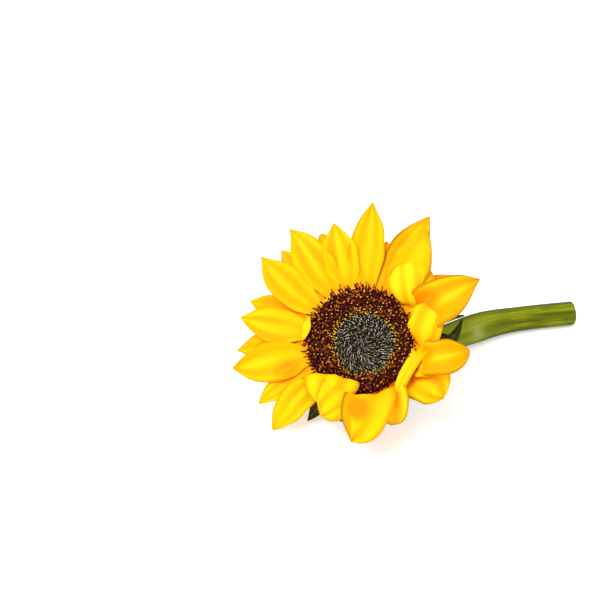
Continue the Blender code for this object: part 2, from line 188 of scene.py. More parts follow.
@dataclass
class Blade:
    """A petal or a bract. Angles are in degrees and lengths in millimetres.

    at: where it is rooted round the disc, clockwise from the top
    lift: its slope above the disc's plane, at even places from where it starts to bend to its tip
    bearing: how far it swings away from its root's direction, at even places too
    cup: how far its left and its right margin turn up
    shade: -0.5 for a lemon petal, 0 for a yellow one and 1 for an ochre one; partly the petal's own tone and
    partly painted light and shade, paler on lit petals and warmer on shaded ones
    wave: how much its margins ripple
    crease: how deep its long folds are, and how strongly painted shade and painted highlight mark their
    valleys and ridges
    rim: how much painted shade darkens its left and its right margin and its tip
    blunt: 0 for a pointed tip and 1 for a round end
    widest: where it is widest, as a share of its length
    sides: how much fuller its left and its right half are than the width says
    hollow: where painted shade makes its colour deepest, as shares of its length and of its half width, how
    deep it is there, and how far that reaches
    """

    at: float
    length: float
    width: float
    lift: tuple
    bearing: tuple = (0, 0)
    cup: tuple = (28, 28)
    back: bool = False
    shade: float = 0.4
    wave: float = 1.0
    crease: float = 0.6
    rim: tuple = (0.25, 0.25)
    blunt: float = 0.1
    widest: float = 0.42
    sides: tuple = (1.0, 1.0)
    hollow: tuple = (0.0, 0.0, 0.4, 1.0)


# Petals with no painted shade in a hollow, and with only a faint one at the base
NO_HOLLOW = (0, 0, 0, 1)
FAINT_HOLLOW = (0, 0, 0.1, 1)

PETALS = (
    Blade(-5, 44, 20, (6, 4, 4, 4), (0, -1), shade=0.45, rim=(0.6, 0.6), sides=(1.08, 0.9)),
    Blade(27, 38.5, 16, (35, 20, 5, 0), (-4, -14), cup=(20, 30), shade=0.35, rim=(0.3, 0.9), blunt=0.2,
          sides=(1.3, 1.4)),
    Blade(50, 38, 21, (60, 25, 5, -40, -110), (-54, -64, -69, -70, -67), cup=(-30, -30), shade=-0.35,
          wave=0.4, crease=0.9, blunt=0.5, sides=(1.2, 1.1), hollow=NO_HOLLOW),
    Blade(54, 44, 24, (60, 20, 0, -5), (0, 3), cup=(60, 20), shade=0.85, crease=1.2, rim=(0.9, 0.9),
          sides=(0.95, 1.2), hollow=(0.24, -0.2, 1.3, 1)),
    Blade(89, 31, 19, (60, 40, 10, -10, -35), (-60, -78, -82, -82, -78), cup=(-20, -20), shade=-0.25,
          wave=0.4, blunt=0.9, widest=0.6, sides=(1.2, 0.75), hollow=NO_HOLLOW),
    Blade(83, 50, 12, (40, 18, 5, -10, -30), (106, 116, 112, 100, 90), cup=(-15, -15), shade=-0.3,
          crease=0.1, widest=0.12, sides=(0.25, 1), hollow=NO_HOLLOW),
    Blade(95, 35, 21, (70, 35, -10, -25), (0, -37), cup=(20, 20), shade=0.95, crease=1.2, rim=(0.9, 0.9),
          blunt=0.7, sides=(0.8, 1), hollow=(0.3, -0.1, 0.8, 0.8)),
    Blade(113, 25, 26, (42, 22, -8, -25), (0, 8), cup=(35, 30), shade=0.1, crease=0.7, rim=(0.3, 0.9),
          blunt=0.5, sides=(1.2, 0.85), hollow=(0.22, -0.05, 1.3, 0.6)),
    Blade(155, 49, 29, (125, 80, 5, -20, -45), (0, 8, 26, 45, 62), cup=(25, 25), shade=0.5, crease=1.4,
          rim=(0.4, 0.9), blunt=0.25, widest=0.5, sides=(0.95, 0.95), hollow=(0.6, 0.35, 1.3, 0.6)),
    Blade(176, 38, 19, (135, 95, 20, -15, -40), (0, 22, 42, 52, 54), cup=(-15, -15), shade=0.15, wave=0.5,
          rim=(0.6, 0.6), blunt=0.7, widest=0.6, sides=(0.9, 1.5)),
    Blade(197, 40, 31, (150, 140, 30, -30, -60), (-16, -18, -15, -13, -13), cup=(-15, -30), shade=0,
          wave=0.5, rim=(0.6, 0.6), blunt=0.7),
    Blade(217, 36.5, 18, (20, 6, -9, -18), (0, -13), shade=0.1, rim=(0.5, 0.5)),
    Blade(246, 39.5, 23, (8, 4, 0, -4), (0, 9), shade=0.25, rim=(0.6, 0.4), hollow=(0.25, -0.5, 0.8, 1)),
    Blade(270.7, 36, 20, (8, 4, 0, -4), (0, 4)),
    Blade(273, 12, 14, (90, 110, 140, 170), shade=-0.4, wave=0.2, crease=0.2, blunt=0.6),
    Blade(297, 41, 20, (8, 4, 0, -4), (0, 13), shade=0.5),
    Blade(320.7, 42, 21, (8, 4, 0, -4), (0, -13), shade=0.5, sides=(1.08, 0.95)),
    Blade(337, 34.5, 19, (10, 6, 2, 0), (0, -1), shade=0.35, blunt=0.2, sides=(1.12, 1)),
    Blade(7, 25, 16, (4, 2, 0, 0), (0, -16), back=True, shade=0.2),
    Blade(17, 45, 21, (6, 4, 2, 0), (0, 6), back=True, shade=0.3, rim=(0.9, 0.9), blunt=0.25,
          sides=(0.95, 1)),
    Blade(47, 35, 18, (8, 4, 0, 0), (0, 11), back=True, shade=0.7),
    Blade(72, 12, 9, (60, 40, 10, 0), (0, -10), back=True, shade=0.1, hollow=FAINT_HOLLOW),
    Blade(101, 22, 15, (80, 40, 0, -20), back=True, shade=0.1, hollow=FAINT_HOLLOW),
    Blade(136, 31, 20, (100, 55, -10, -45), (0, 20, 36, 42), shade=-0.5, crease=0.1, rim=(0.8, 0.8),
          blunt=0.5, widest=0.65, sides=(0.85, 1), hollow=NO_HOLLOW),
    Blade(146, 21, 15, (85, 40, -30, -60), (0, 30), back=True, shade=0.1),
    Blade(230.8, 33, 15, (20, 8, 0, 0), (0, -12), back=True, shade=0.3),
    Blade(258, 36.5, 18, (4, 2, 0, -4), (0, -7), back=True, shade=0.5),
    Blade(281, 34, 18, (4, 2, 0, -4), (0, -3), back=True, shade=0.5),
    Blade(308, 36, 19, (4, 2, 0, -4), (0, 3), back=True, shade=0.5),
    Blade(331, 32.5, 18, (2, 0, -2, -4), (0, -10), back=True, shade=0.5, blunt=0.4),
    Blade(350.8, 35.5, 18, (4, 2, 0, -4), (0, 10), back=True, shade=0.6),
)


@dataclass
class Whorl:
    """Bracts that stand evenly round the receptacle, all rooted at one radius and height."""

    count: int
    first: float
    radius: float
    height: float
    length: float
    width: float
    lift: tuple


WHORLS = (
    Whorl(count=13, first=17, radius=26 * MM, height=-9.3 * MM, length=16, width=10, lift=(-6, -8, -12)),
    Whorl(count=13, first=31, radius=20 * MM, height=-12.3 * MM, length=19, width=10, lift=(-12, -12, -16)),
)

# Three longer bracts that show between the petals, each with the radius and height of its root
LONG_BRACTS = (
    (Blade(204, 22, 11, (-4, -4, -6), (0, 4), cup=(25, 25)), (26 * MM, -8.3 * MM)),
    (Blade(64, 27, 6, (-2, 0, 0), (0, 6), cup=(35, 35)), (26 * MM, -8.3 * MM)),
    (Blade(84, 33, 9, (-2, 4, 8), (0, -14, -62, -78), cup=(25, 25)), (25 * MM, -8.3 * MM)),
)


def head_axes():
    """Up along the disc, to its right, and straight out of its face."""
    face = Vector((
        -math.sin(FACE_TURN) * math.cos(FACE_TILT),
        -math.cos(FACE_TURN) * math.cos(FACE_TILT),
        math.sin(FACE_TILT),
    ))
    up = Vector((
        math.sin(FACE_TURN) * math.sin(FACE_TILT),
        math.cos(FACE_TURN) * math.sin(FACE_TILT),
        math.cos(FACE_TILT),
    ))
    return up, up.cross(face), face


UP, SIDE, FACE = head_axes()
HEAD = Matrix.Translation(HEAD_CENTRE) @ Matrix((SIDE, UP, FACE)).transposed().to_4x4()


def outward(angle):
    """The direction away from the disc's middle, clockwise from its top."""
    return UP * math.cos(angle) + SIDE * math.sin(angle)


def clockwise(angle):
    """The direction round the disc, square to outward."""
    return SIDE * math.cos(angle) - UP * math.sin(angle)


def on_head(radius, angle, height):
    return HEAD_CENTRE + outward(angle) * radius + FACE * height


def along_table(point, thickness):
    """The point itself, or bent smoothly along the table where it would sink in."""
    floor = TABLE_CLEARANCE + thickness / 2
    start = floor + BEND_HEIGHT
    if point.z >= start:
        return point
    height = floor + BEND_HEIGHT * math.exp((point.z - start) / BEND_HEIGHT)
    return Vector((point.x, point.y, height))


def between(stations, values, place):
    """A value read off a broken line through stations and values."""
    return float(np.interp(place, stations, values))


def along_blade(at_root, values, share):
    """A value at a share of a blade's length: values stand evenly from BEND_START to the tip."""
    step = (1 - BEND_START) / (len(values) - 1)
    stations = [0] + [BEND_START + step * index for index in range(len(values))]
    return between(stations, (at_root,) + tuple(values), share)


def blade_direction(blade, share):
    """Ahead along the blade, to its right, and out of its inner face."""
    lift = math.radians(along_blade(CLAW_LIFT, blade.lift, share))
    heading = math.radians(blade.at + along_blade(0, blade.bearing, share))
    ahead = outward(heading) * math.cos(lift) + FACE * math.sin(lift)
    above = FACE * math.cos(lift) - outward(heading) * math.sin(lift)
    return ahead, clockwise(heading), above


# Meshes


class Shape:
    """Points, faces and named values for each point, gathered for one mesh."""

    def __init__(self):
        self.points = []
        self.faces = []
        self.values = {}
        self.count = 0

    def add(self, points, faces, **values):
        """Adds points with faces that number them from 0. A value is one number or one for each point."""
        points = np.asarray(points, float).reshape(-1, 3)
        self.points.append(points)
        self.faces += [tuple(corner + self.count for corner in face) for face in faces]
        for name, value in values.items():
            filled = np.broadcast_to(np.asarray(value, float).ravel(), len(points))
            self.values.setdefault(name, []).append(filled)
        self.count += len(points)

    def made(self, name):
        """The gathered shape as an object in the scene, shaded smooth."""
        data = bpy.data.meshes.new(name)
        data.from_pydata(np.concatenate(self.points).tolist(), [], self.faces)
        for label, parts in self.values.items():
            attribute = data.attributes.new(label, "FLOAT", "POINT")
            attribute.data.foreach_set("value", np.concatenate(parts).astype(np.float32))
        data.shade_smooth()
        piece = bpy.data.objects.new(name, data)
        bpy.context.scene.collection.objects.link(piece)
        return piece


def add_sheet(shape, points, thickness, **values):
    """A closed sheet round a grid of points, with a thickness for each point. A value may be one number."""
    rows, columns = points.shape[:2]
    ahead = np.gradient(points, axis=0)
    across = np.gradient(points, axis=1)
    out = np.cross(across, ahead)
    out /= np.linalg.norm(out, axis=2, keepdims=True)
    half = out * thickness[:, :, None] / 2
    size = rows * columns
    faces = []
    for row in range(rows - 1):
        for column in range(columns - 1):
            a = row * columns + column
            quad = (a, a + 1, a + columns + 1, a + columns)
            faces.append(quad)
            faces.append(tuple(size + corner for corner in reversed(quad)))
    rim = list(range(columns - 1))
    rim += [row * columns + columns - 1 for row in range(rows - 1)]
    rim += [(rows - 1) * columns + column for column in range(columns - 1, 0, -1)]
    rim += [row * columns for row in range(rows - 1, 0, -1)]
    for a, b in zip(rim, rim[1:] + rim[:1]):
        faces.append((size + a, size + b, b, a))
    doubled = {
        name: np.tile(np.broadcast_to(np.asarray(value, float), (rows, columns)).ravel(), 2)
        for name, value in values.items()
    }
    shape.add(np.concatenate([points + half, points - half]), faces, **doubled)


def add_rings(shape, rings, **values):
    """A closed skin through rings of points. A value is one number, or one for each ring or point."""
    sides = len(rings[0])
    corners = [point for ring in rings for point in ring]
    points = [np.mean(rings[0], axis=0), *corners, np.mean(rings[-1], axis=0)]
    faces = []
    for side in range(sides):
        after = (side + 1) % sides
        faces.append((0, 1 + after, 1 + side))
        last = 1 + (len(rings) - 1) * sides
        faces.append((len(points) - 1, last + side, last + after))
        for ring in range(len(rings) - 1):
            a = 1 + ring * sides
            faces.append((a + side, a + after, a + sides + after, a + sides + side))
    spread = {}
    for name, value in values.items():
        grid = np.asarray(value, float)
        grid = grid[:, None] if grid.ndim == 1 else grid
        flat = np.broadcast_to(grid, (len(rings), sides)).ravel()
        spread[name] = np.concatenate([[flat[0]], flat, [flat[-1]]])
    shape.add(points, faces, **spread)


def turn_angles(sides):
    """The angles of a ring's corners."""
    return [2 * math.pi * side / sides for side in range(sides)]


def add_turned(shape, section, **values):
    """A closed ring or disc turned about the head's axis, through its section.

    section is radii and heights in metres, and how far a ring is shifted from the disc's middle to the buds'.
    """
    rings = []
    for radius, height, shift in section:
        middle = (UP * BUD_MIDDLE.x + SIDE * BUD_MIDDLE.y) * shift
        rings.append([tuple(on_head(radius, angle, height) + middle) for angle in turn_angles(DISC_SIDES)])
    add_rings(shape, rings, **values)


# Node trees


class Wire:
    """One output socket of a node. Arithmetic on it adds Math nodes to its tree."""

    def __init__(self, socket):
        self.socket = socket

    def output(self, name):
        """Another output of the same node."""
        return Wire(self.socket.node.outputs[name])

    def math(self, operation, *others, first=None):
        values = dict(enumerate(([self] if first is None else [first, self]) + list(others)))
        return add_node(self.socket.id_data, "ShaderNodeMath", {"operation": operation}, values)

    def __add__(self, other):
        return self.math("ADD", other)

    def __radd__(self, other):
        return self.math("ADD", other)

    def __sub__(self, other):
        return self.math("SUBTRACT", other)

    def __rsub__(self, other):
        return self.math("SUBTRACT", first=other)

    def __mul__(self, other):
        return self.math("MULTIPLY", other)

    def __rmul__(self, other):
        return self.math("MULTIPLY", other)

    def __truediv__(self, other):
        return self.math("DIVIDE", other)

    def __rtruediv__(self, other):
        return self.math("DIVIDE", first=other)

    def __pow__(self, other):
        return self.math("POWER", other)

    def __lt__(self, other):
        return self.math("LESS_THAN", other)

    def __gt__(self, other):
        return self.math("GREATER_THAN", other)

    def abs(self):
        return self.math("ABSOLUTE")


def add_node(tree, kind, settings=None, sockets=None, output=0):
    """Adds a node, sets it up, links or fills its sockets, and returns one of its outputs.

    New ramps and curves have two points already, so the first two that are given take their places.
    """
    node = tree.nodes.new(kind)
    for name, value in (settings or {}).items():
        if name == "stops":
            for index, (place, colour) in enumerate(value):
                elements = node.color_ramp.elements
                stop = elements[index] if index < 2 else elements.new(place)
                stop.position = place
                stop.color = (*colour, 1)
        elif name == "curve":
            curve = node.mapping.curves[0]
            for index, place in enumerate(value):
                if index < 2:
                    curve.points[index].location = place
                else:
                    curve.points.new(*place)
            node.mapping.update()
        else:
            setattr(node, name, value)
    for name, value in (sockets or {}).items():
        if isinstance(value, Wire):
            tree.links.new(value.socket, node.inputs[name])
        else:
            node.inputs[name].default_value = value
    return Wire(node.outputs[output])


def vector_of(tree, x, y, z):
    """Three numbers joined to a vector."""
    return add_node(tree, "ShaderNodeCombineXYZ", sockets={0: x, 1: y, 2: z})


class Paint:
    """A Principled material that is being built. Its colour so far is a wire or three numbers."""

    def __init__(self, name, **constants):
        self.material = bpy.data.materials.new(name)
        self.material.use_nodes = True
        self.tree = self.material.node_tree
        self.shader = self.tree.nodes["Principled BSDF"]
        self.colour = (1, 1, 1)
        for label, value in constants.items():
            self.shader.inputs[label.replace("_", " ")].default_value = value

    def add(self, kind, settings=None, sockets=None, output=0):
        return add_node(self.tree, kind, settings, sockets, output)

    def value(self, name):
        """A number that the mesh carries at each point."""
        return self.add("ShaderNodeAttribute", {"attribute_name": name}, output="Fac")

    def place(self):
        return self.add("ShaderNodeTexCoord", output="Object")

    def vector(self, x, y, z):
        return vector_of(self.tree, x, y, z)

    def noise(self, vector, scale, detail=2.0, roughness=0.5):
        sockets = {"Vector": vector, "Scale": scale, "Detail": detail, "Roughness": roughness}
        return self.add("ShaderNodeTexNoise", sockets=sockets, output="Fac")

    def ramp(self, value, *stops):
        return self.add("ShaderNodeValToRGB", {"stops": stops}, {"Fac": value})

    def smooth(self, value, low, high):
        """0 below low and 1 above high, smoothly between them. low may be the larger."""
        sockets = {"Value": value, "From Min": low, "From Max": high}
        return self.add("ShaderNodeMapRange", {"interpolation_type": "SMOOTHSTEP"}, sockets)

    def over(self, mask, colour):
        """Lays a colour over the colour so far, as much as the mask says."""
        # A mix node's two colours are its sockets 6 and 7
        sockets = {"Factor": mask}
        for index, layer in ((6, self.colour), (7, colour)):
            sockets[index] = layer if isinstance(layer, Wire) else (*layer, 1)
        self.colour = self.add("ShaderNodeMix", {"data_type": "RGBA"}, sockets, output=2)

    def two_tone(self, mask, first, second):
        """Paints the first colour, and the second over it."""
        self.colour = first
        self.over(mask, second)

    def finish(self, roughness, bump=None, distance=0.0002, strength=0.5):
        """Feeds the shader, with a bump from a height, and returns the material."""
        colour = self.colour if isinstance(self.colour, Wire) else (*self.colour, 1)
        for label, value in (("Base Color", colour), ("Roughness", roughness)):
            if isinstance(value, Wire):
                self.tree.links.new(value.socket, self.shader.inputs[label])
            else:
                self.shader.inputs[label].default_value = value
        if bump is not None:
            sockets = {"Strength": strength, "Distance": distance, "Height": bump}
            normal = self.add("ShaderNodeBump", sockets=sockets)
            self.tree.links.new(normal.socket, self.shader.inputs["Normal"])
        return self.material


def petal_material(settings):
    """Yellow with fine veins, and painted shade: orange bases, hollows and creases, amber margins and tips.
    """
    paint = Paint(
        "petal yellow", Subsurface_Weight=0.15, Subsurface_Radius=(1.0, 0.55, 0.05),
        Subsurface_Scale=0.0012, Specular_IOR_Level=0.03,
    )
    along, across, shade, seed = (paint.value(name) for name in ("along", "across", "shade", "seed"))
    fold, hollow, rim = (paint.value(name) for name in ("fold", "hollow", "rim"))
    streaks = paint.noise(paint.vector(across * 5.0, along * 1.1, seed * 3.7), 1.0, 3.0, 0.6)
    fine = paint.noise(paint.vector(across * 22.0, along * 1.4, seed * 5.1), 1.0, 2.0, 0.5)
    clouds = paint.noise(paint.vector(across * 1.2, along * 2.4, seed * 7.3), 1.0, 2.0, 0.5)
    streaked, clouded = streaks - 0.5, clouds - 0.5
    # Each petal's tone, partly its own and partly painted light and shade: warmer on shaded petals, lemon on
    # lit ones
    warm_tone_and_shade = paint.smooth(shade + streaked * 0.9 + clouded * 1.2, 0.15, 1.05)
    paint.two_tone(warm_tone_and_shade, settings.yellow, settings.ochre)
    pale = paint.smooth(shade + clouded * 0.8, 0.0, -0.6)
    paint.over(pale * 0.7, settings.lemon)
    # Painted shade: the valleys of the long folds turn orange
    valley = paint.smooth(fold + streaked * 0.6, 0.35, -0.75)
    paint.over(valley * 0.7, (1.0, 0.30, 0.0005))
    # Painted highlight: the ridges of the long folds turn lemon
    ridge = paint.smooth(fold + clouded * 0.8, 0.25, 1.0)
    paint.over(ridge * 0.5, (1.0, 0.66, 0.006))
    # Painted shade: deep orange in each petal's hollow and at its base
    deep = paint.smooth(hollow + streaked * 0.35, 0.15, 0.95)
    paint.over(deep * 0.9, (1.0, 0.22, 0.0005))
    # Painted shade: margins and tip darken to amber as far as rim says, with a dark line at the very edge
    outer = paint.smooth(along, 0.1, 0.4)
    margin = paint.smooth(across.abs() + clouded * 0.2, 0.72, 1.02) * outer
    paint.over(margin * rim * 0.6, (0.66, 0.32, 0.001))
    tip = paint.smooth(along + streaked * 0.5, 0.80, 1.02)
    paint.over(tip * rim * 0.8, (0.42, 0.22, 0.002))
    edge = paint.smooth(across.abs() + (fine - 0.5) * 0.04, 0.79, 0.98) * outer
    paint.over(edge * rim * 0.9, (0.26, 0.14, 0.002))
    veins = (across * 46.0 + streaked * 9.0).math("SINE")
    paint.over(paint.smooth(veins, 0.2, 1.0) * 0.08, (0.90, 0.42, 0.001))
    return paint.finish(0.42 + fine * 0.2, veins * 0.3 + fine, 0.00025, 0.35)


def bract_material(settings):
    """Dark green with paler veins, brownish edges and a dull, rough skin."""
    paint = Paint("bract green", Specular_IOR_Level=0.2)
    along, across, seed = (paint.value(name) for name in ("along", "across", "seed"))
    mottle = paint.noise(paint.place(), 320.0, 4.0, 0.6)
    streaks = paint.noise(paint.vector(across * 6.0, along * 2.0, seed * 3.1), 1.0, 3.0, 0.6)
    paint.two_tone(paint.smooth(mottle, 0.35, 0.7), settings.dark_green, settings.green)
    base = paint.smooth(along, 0.55, 0.0)
    paint.over(base * 0.7, (0.12, 0.18, 0.012))
    rib = paint.smooth(across.abs(), 0.10, 0.02)
    paint.over(rib * 0.45, (0.20, 0.26, 0.07))
    edge = paint.smooth(across.abs() + (streaks - 0.5) * 0.1, 0.9, 1.0)
    paint.over(edge * 0.5, (0.10, 0.09, 0.02))
    paint.over(paint.smooth(streaks, 0.55, 0.75) * 0.35, (0.16, 0.17, 0.04))
    return paint.finish(0.55 + mottle * 0.3, streaks + mottle * 0.7, 0.0004, 0.6)


def stem_material(settings):
    """Yellow-green with long streaks, a pale scar and whitish specks, and bands of painted shade and
    highlight.
    """
    paint = Paint("stem green", Specular_IOR_Level=0.06, Subsurface_Weight=0.1, Subsurface_Scale=0.002)
    along, around, scar, cut = (paint.value(name) for name in ("along", "around", "scar", "cut"))
    turn_x, turn_y = (around * 2 * math.pi).math("COSINE"), (around * 2 * math.pi).math("SINE")
    streaks = paint.noise(paint.vector(turn_x * 5.0, turn_y * 5.0, along * 5.0), 1.0, 2.0, 0.5)
    fibres = paint.noise(paint.vector(turn_x * 24.0, turn_y * 24.0, along * 14.0), 1.0, 2.0, 0.5)
    clouds = paint.noise(paint.place(), 55.0, 3.0, 0.5)
    light = paint.smooth(streaks + (clouds - 0.5) * 0.7, 0.36, 0.66)
    paint.two_tone(light, settings.dark_green, settings.green)
    near_head = paint.smooth(along, 0.86, 0.66)
    paint.over(near_head * 0.5, (0.24, 0.30, 0.012))
    # height tells how far a side of the stem faces upwards; the bands read from it are painted light and
    # shade
    height = turn_x * -0.82 + turn_y * -0.57 + (streaks - 0.5) * 0.5
    # Painted highlight: a lighter band along the upper flank
    painted_highlight_band = paint.smooth((height - 0.4).abs(), 0.35, 0.05)
    paint.over(painted_highlight_band * 0.35, (0.32, 0.35, 0.015))
    # Painted shade: a dark band along the flank towards the cut end
    painted_shade_band = paint.smooth((height + 0.1).abs(), 0.4, 0.05) * paint.smooth(along, 0.66, 0.88)
    paint.over(painted_shade_band * 0.65, (0.05, 0.07, 0.001))
    # Painted shade on the underside and along the top
    paint.over(paint.smooth(height, -0.5, -1.0) * 0.7, (0.06, 0.08, 0.002))
    paint.over(paint.smooth(height, 0.7, 1.0) * 0.8, (0.05, 0.07, 0.002))
    paint.over(paint.smooth(fibres, 0.55, 0.8) * 0.2, (0.38, 0.42, 0.02))
    paint.over(paint.smooth(fibres, 0.42, 0.2) * 0.25, (0.05, 0.07, 0.003))
    neck = paint.smooth(along, 0.12, 0.0)
    paint.over(neck * 0.6, (0.12, 0.20, 0.01))
    specks = paint.smooth(paint.noise(paint.place(), 900.0, 1.0, 0.5), 0.68, 0.76)
    paint.over(specks * 0.08, (0.62, 0.66, 0.30))
    paint.over(scar * 0.7, (0.44, 0.49, 0.16))
    paint.over(cut, (0.62, 0.66, 0.40))
    return paint.finish(0.40 + fibres * 0.25, fibres + streaks, 0.0003, 0.45)


def floret_material(name, low, middle, lip, top, grains):
    """Colours by height on each floret, which differ a little from floret to floret."""
    paint = Paint(name, Specular_IOR_Level=0.12)
    height, tone = paint.value("height"), paint.value("tone")
    paint.colour = paint.ramp(height, (0.0, low), (0.45, middle), (0.62, lip), (0.80, top), (1.0, top))
    dusted = paint.smooth(tone, 0.62, 0.9) * paint.smooth((height - 0.66).abs(), 0.2, 0.05)
    paint.over(dusted, grains)
    mottle = paint.noise(paint.place(), 1500.0, 2.0, 0.5)
    paint.over(paint.smooth(mottle, 0.6, 0.8) * 0.3, grains)
    return paint.finish(0.55 + mottle * 0.3)


def plain_material(name, first, second, scale, roughness):
    """Two colours mottled into each other."""
    paint = Paint(name, Specular_IOR_Level=0.12)
    mottle = paint.noise(paint.place(), scale, 3.0, 0.6)
    paint.two_tone(paint.smooth(mottle, 0.35, 0.65), first, second)
    return paint.finish(roughness, mottle, 0.0003, 0.4)


# Repeats by Geometry Nodes


def group_inputs(tree, entries):
    """Declares a tree's geometry output and its inputs, and returns the inputs as wires.

    entries holds each input's default, or its kind where it has no default.
    """
    tree.interface.new_socket("Geometry", in_out="OUTPUT", socket_type="NodeSocketGeometry")
    for name, default in entries.items():
        kind = {float: "Float", int: "Int"}.get(type(default), default)
        socket = tree.interface.new_socket(name, in_out="INPUT", socket_type="NodeSocket" + kind)
        if kind != default:
            socket.default_value = default
    source = tree.nodes.new("NodeGroupInput")
    return {socket.name: Wire(socket) for socket in source.outputs if socket.name}


def random_value(tree, low, high, seed):
    """A random number for each element. Its sockets are numbered, because several share a name."""
    sockets = {2: low, 3: high, 8: seed}
    return add_node(tree, "FunctionNodeRandomValue", {"data_type": "FLOAT"}, sockets, output=1)


def random_swing(tree, reach, seed):
    """A random number that is at most so far from 0, either way."""
    return random_value(tree, reach * -1.0, reach, seed)


def named_value(tree, name):
    """A number stored earlier in the tree on each point."""
    return add_node(tree, "GeometryNodeInputNamedAttribute", {"data_type": "FLOAT"}, {"Name": name})


def object_shape(tree, wire):
    """The geometry of an object that is one of a tree's inputs."""
    return add_node(tree, "GeometryNodeObjectInfo", sockets={"Object": wire}, output="Geometry")


def finish_group(tree, points, pattern, rotation, scale, turn, material):
    """Ends a tree in real copies of a pattern on its points, each turned once more about its own axes."""
    sockets = {"Points": points, "Instance": pattern, "Rotation": rotation, "Scale": scale}
    copies = add_node(tree, "GeometryNodeInstanceOnPoints", sockets=sockets)
    turned = add_node(tree, "GeometryNodeRotateInstances", sockets={"Instances": copies, "Rotation": turn})
    real = add_node(tree, "GeometryNodeRealizeInstances", sockets={"Geometry": turned})
    painted = add_node(tree, "GeometryNodeSetMaterial", sockets={"Geometry": real, "Material": material})
    sink = tree.nodes.new("NodeGroupOutput")
    tree.links.new(painted.socket, sink.inputs[0])


def spiral_tree():
    """Places copies of a floret on the spiral that fills a sunflower's disc, in the head's own frame.

    A floret's zone is 0 in the middle of the buds, 1 at their edge and 2 at the disc's rim. No floret stands
    within the bare angle of the disc's right side, where the petals press against it.
    """
    tree = bpy.data.node_groups.new("florets on a spiral", "GeometryNodeTree")
    inputs = group_inputs(tree, {
        "Floret": "Object", "Spacing": 0.8 * MM, "Innermost": 0.0, "Outermost": 1.0, "Height": 0.0,
        "Jitter": 0.0, "Inner lean": 0.0, "Outer lean": 0.0, "Lean spread": 0.1, "Swirl": 0.0,
        "Spin": math.pi, "Smallest": 0.9, "Largest": 1.1, "Bare angle": 0.0, "Seed": 1,
        "Material": "Material",
    })
    seed, jitter, spread = inputs["Seed"], inputs["Jitter"], inputs["Lean spread"]
    index = add_node(tree, "GeometryNodeInputIndex")
    radius = (index + 0.5).math("SQRT") * inputs["Spacing"]
    side = (index * GOLDEN_ANGLE).math("COSINE") * radius + random_swing(tree, jitter, seed)
    up = (index * GOLDEN_ANGLE).math("SINE") * radius + random_swing(tree, jitter, seed + 1)
    x, y = side + BUD_MIDDLE.y, up + BUD_MIDDLE.x
    from_rim = DISC_RADIUS - (x * x + y * y).math("SQRT")
    beyond = (radius - BUD_RADIUS).math("MAXIMUM", 0.0)
    inner_share = (radius / BUD_RADIUS).math("MINIMUM", 1.0)
    zone = inner_share + beyond / (beyond + from_rim.math("MAXIMUM", 1e-6))
    crown = BUD_CROWN + tuple((1 + share, height) for share, height in OPEN_CROWN[1:])
    profile = [(place / 2, height * MM / CROWN_TOP) for place, height in crown]
    # The curve's own two points become the profile's ends
    ends_first = (profile[0], profile[-1], *profile[1:-1])
    sockets = {"Factor": 1.0, "Value": zone / 2.0}
    height = add_node(tree, "ShaderNodeFloatCurve", {"curve": ends_first}, sockets) * CROWN_TOP
    place = vector_of(tree, x, y, height + inputs["Height"])
    count = ((DISC_RADIUS + BUD_MIDDLE.length) / inputs["Spacing"]) ** 2.0
    points = add_node(tree, "GeometryNodePoints", sockets={"Count": count, "Position": place})
    stored = {
        "zone": zone, "heading": up.math("ARCTAN2", side), "tone": random_value(tree, 0.0, 1.0, seed + 2),
        "from rim": from_rim,
    }
    for name, value in stored.items():
        sockets = {"Geometry": points, "Name": name, "Value": value}
        points = add_node(
            tree, "GeometryNodeStoreNamedAttribute", {"data_type": "FLOAT", "domain": "POINT"}, sockets,
        )
    zone, heading, from_rim = (named_value(tree, name) for name in ("zone", "heading", "from rim"))
    outside = (zone < inputs["Innermost"]) + (zone > inputs["Outermost"]) + (from_rim < -RIM_OVERHANG)
    outside = (outside + (heading.abs() < inputs["Bare angle"])) > 0.5
    sockets = {"Geometry": points, "Selection": outside}
    kept = add_node(tree, "GeometryNodeDeleteGeometry", {"domain": "POINT"}, sockets)
    ranged = {
        "Value": zone, "From Min": inputs["Innermost"], "From Max": inputs["Outermost"],
        "To Min": inputs["Inner lean"], "To Max": inputs["Outer lean"],
    }
    lean = add_node(tree, "ShaderNodeMapRange", sockets=ranged) + random_swing(tree, spread, seed + 3)
    turn = heading + inputs["Swirl"] + random_swing(tree, spread, seed + 4)
    rotation = add_node(tree, "FunctionNodeEulerToRotation", sockets={0: vector_of(tree, 0.0, lean, turn)})
    scale = random_value(tree, inputs["Smallest"], inputs["Largest"], seed + 5)
    floret = object_shape(tree, inputs["Floret"])
    spin = vector_of(tree, 0.0, 0.0, random_swing(tree, inputs["Spin"], seed + 6))
    finish_group(tree, kept, floret, rotation, scale, spin, inputs["Material"])
    return tree


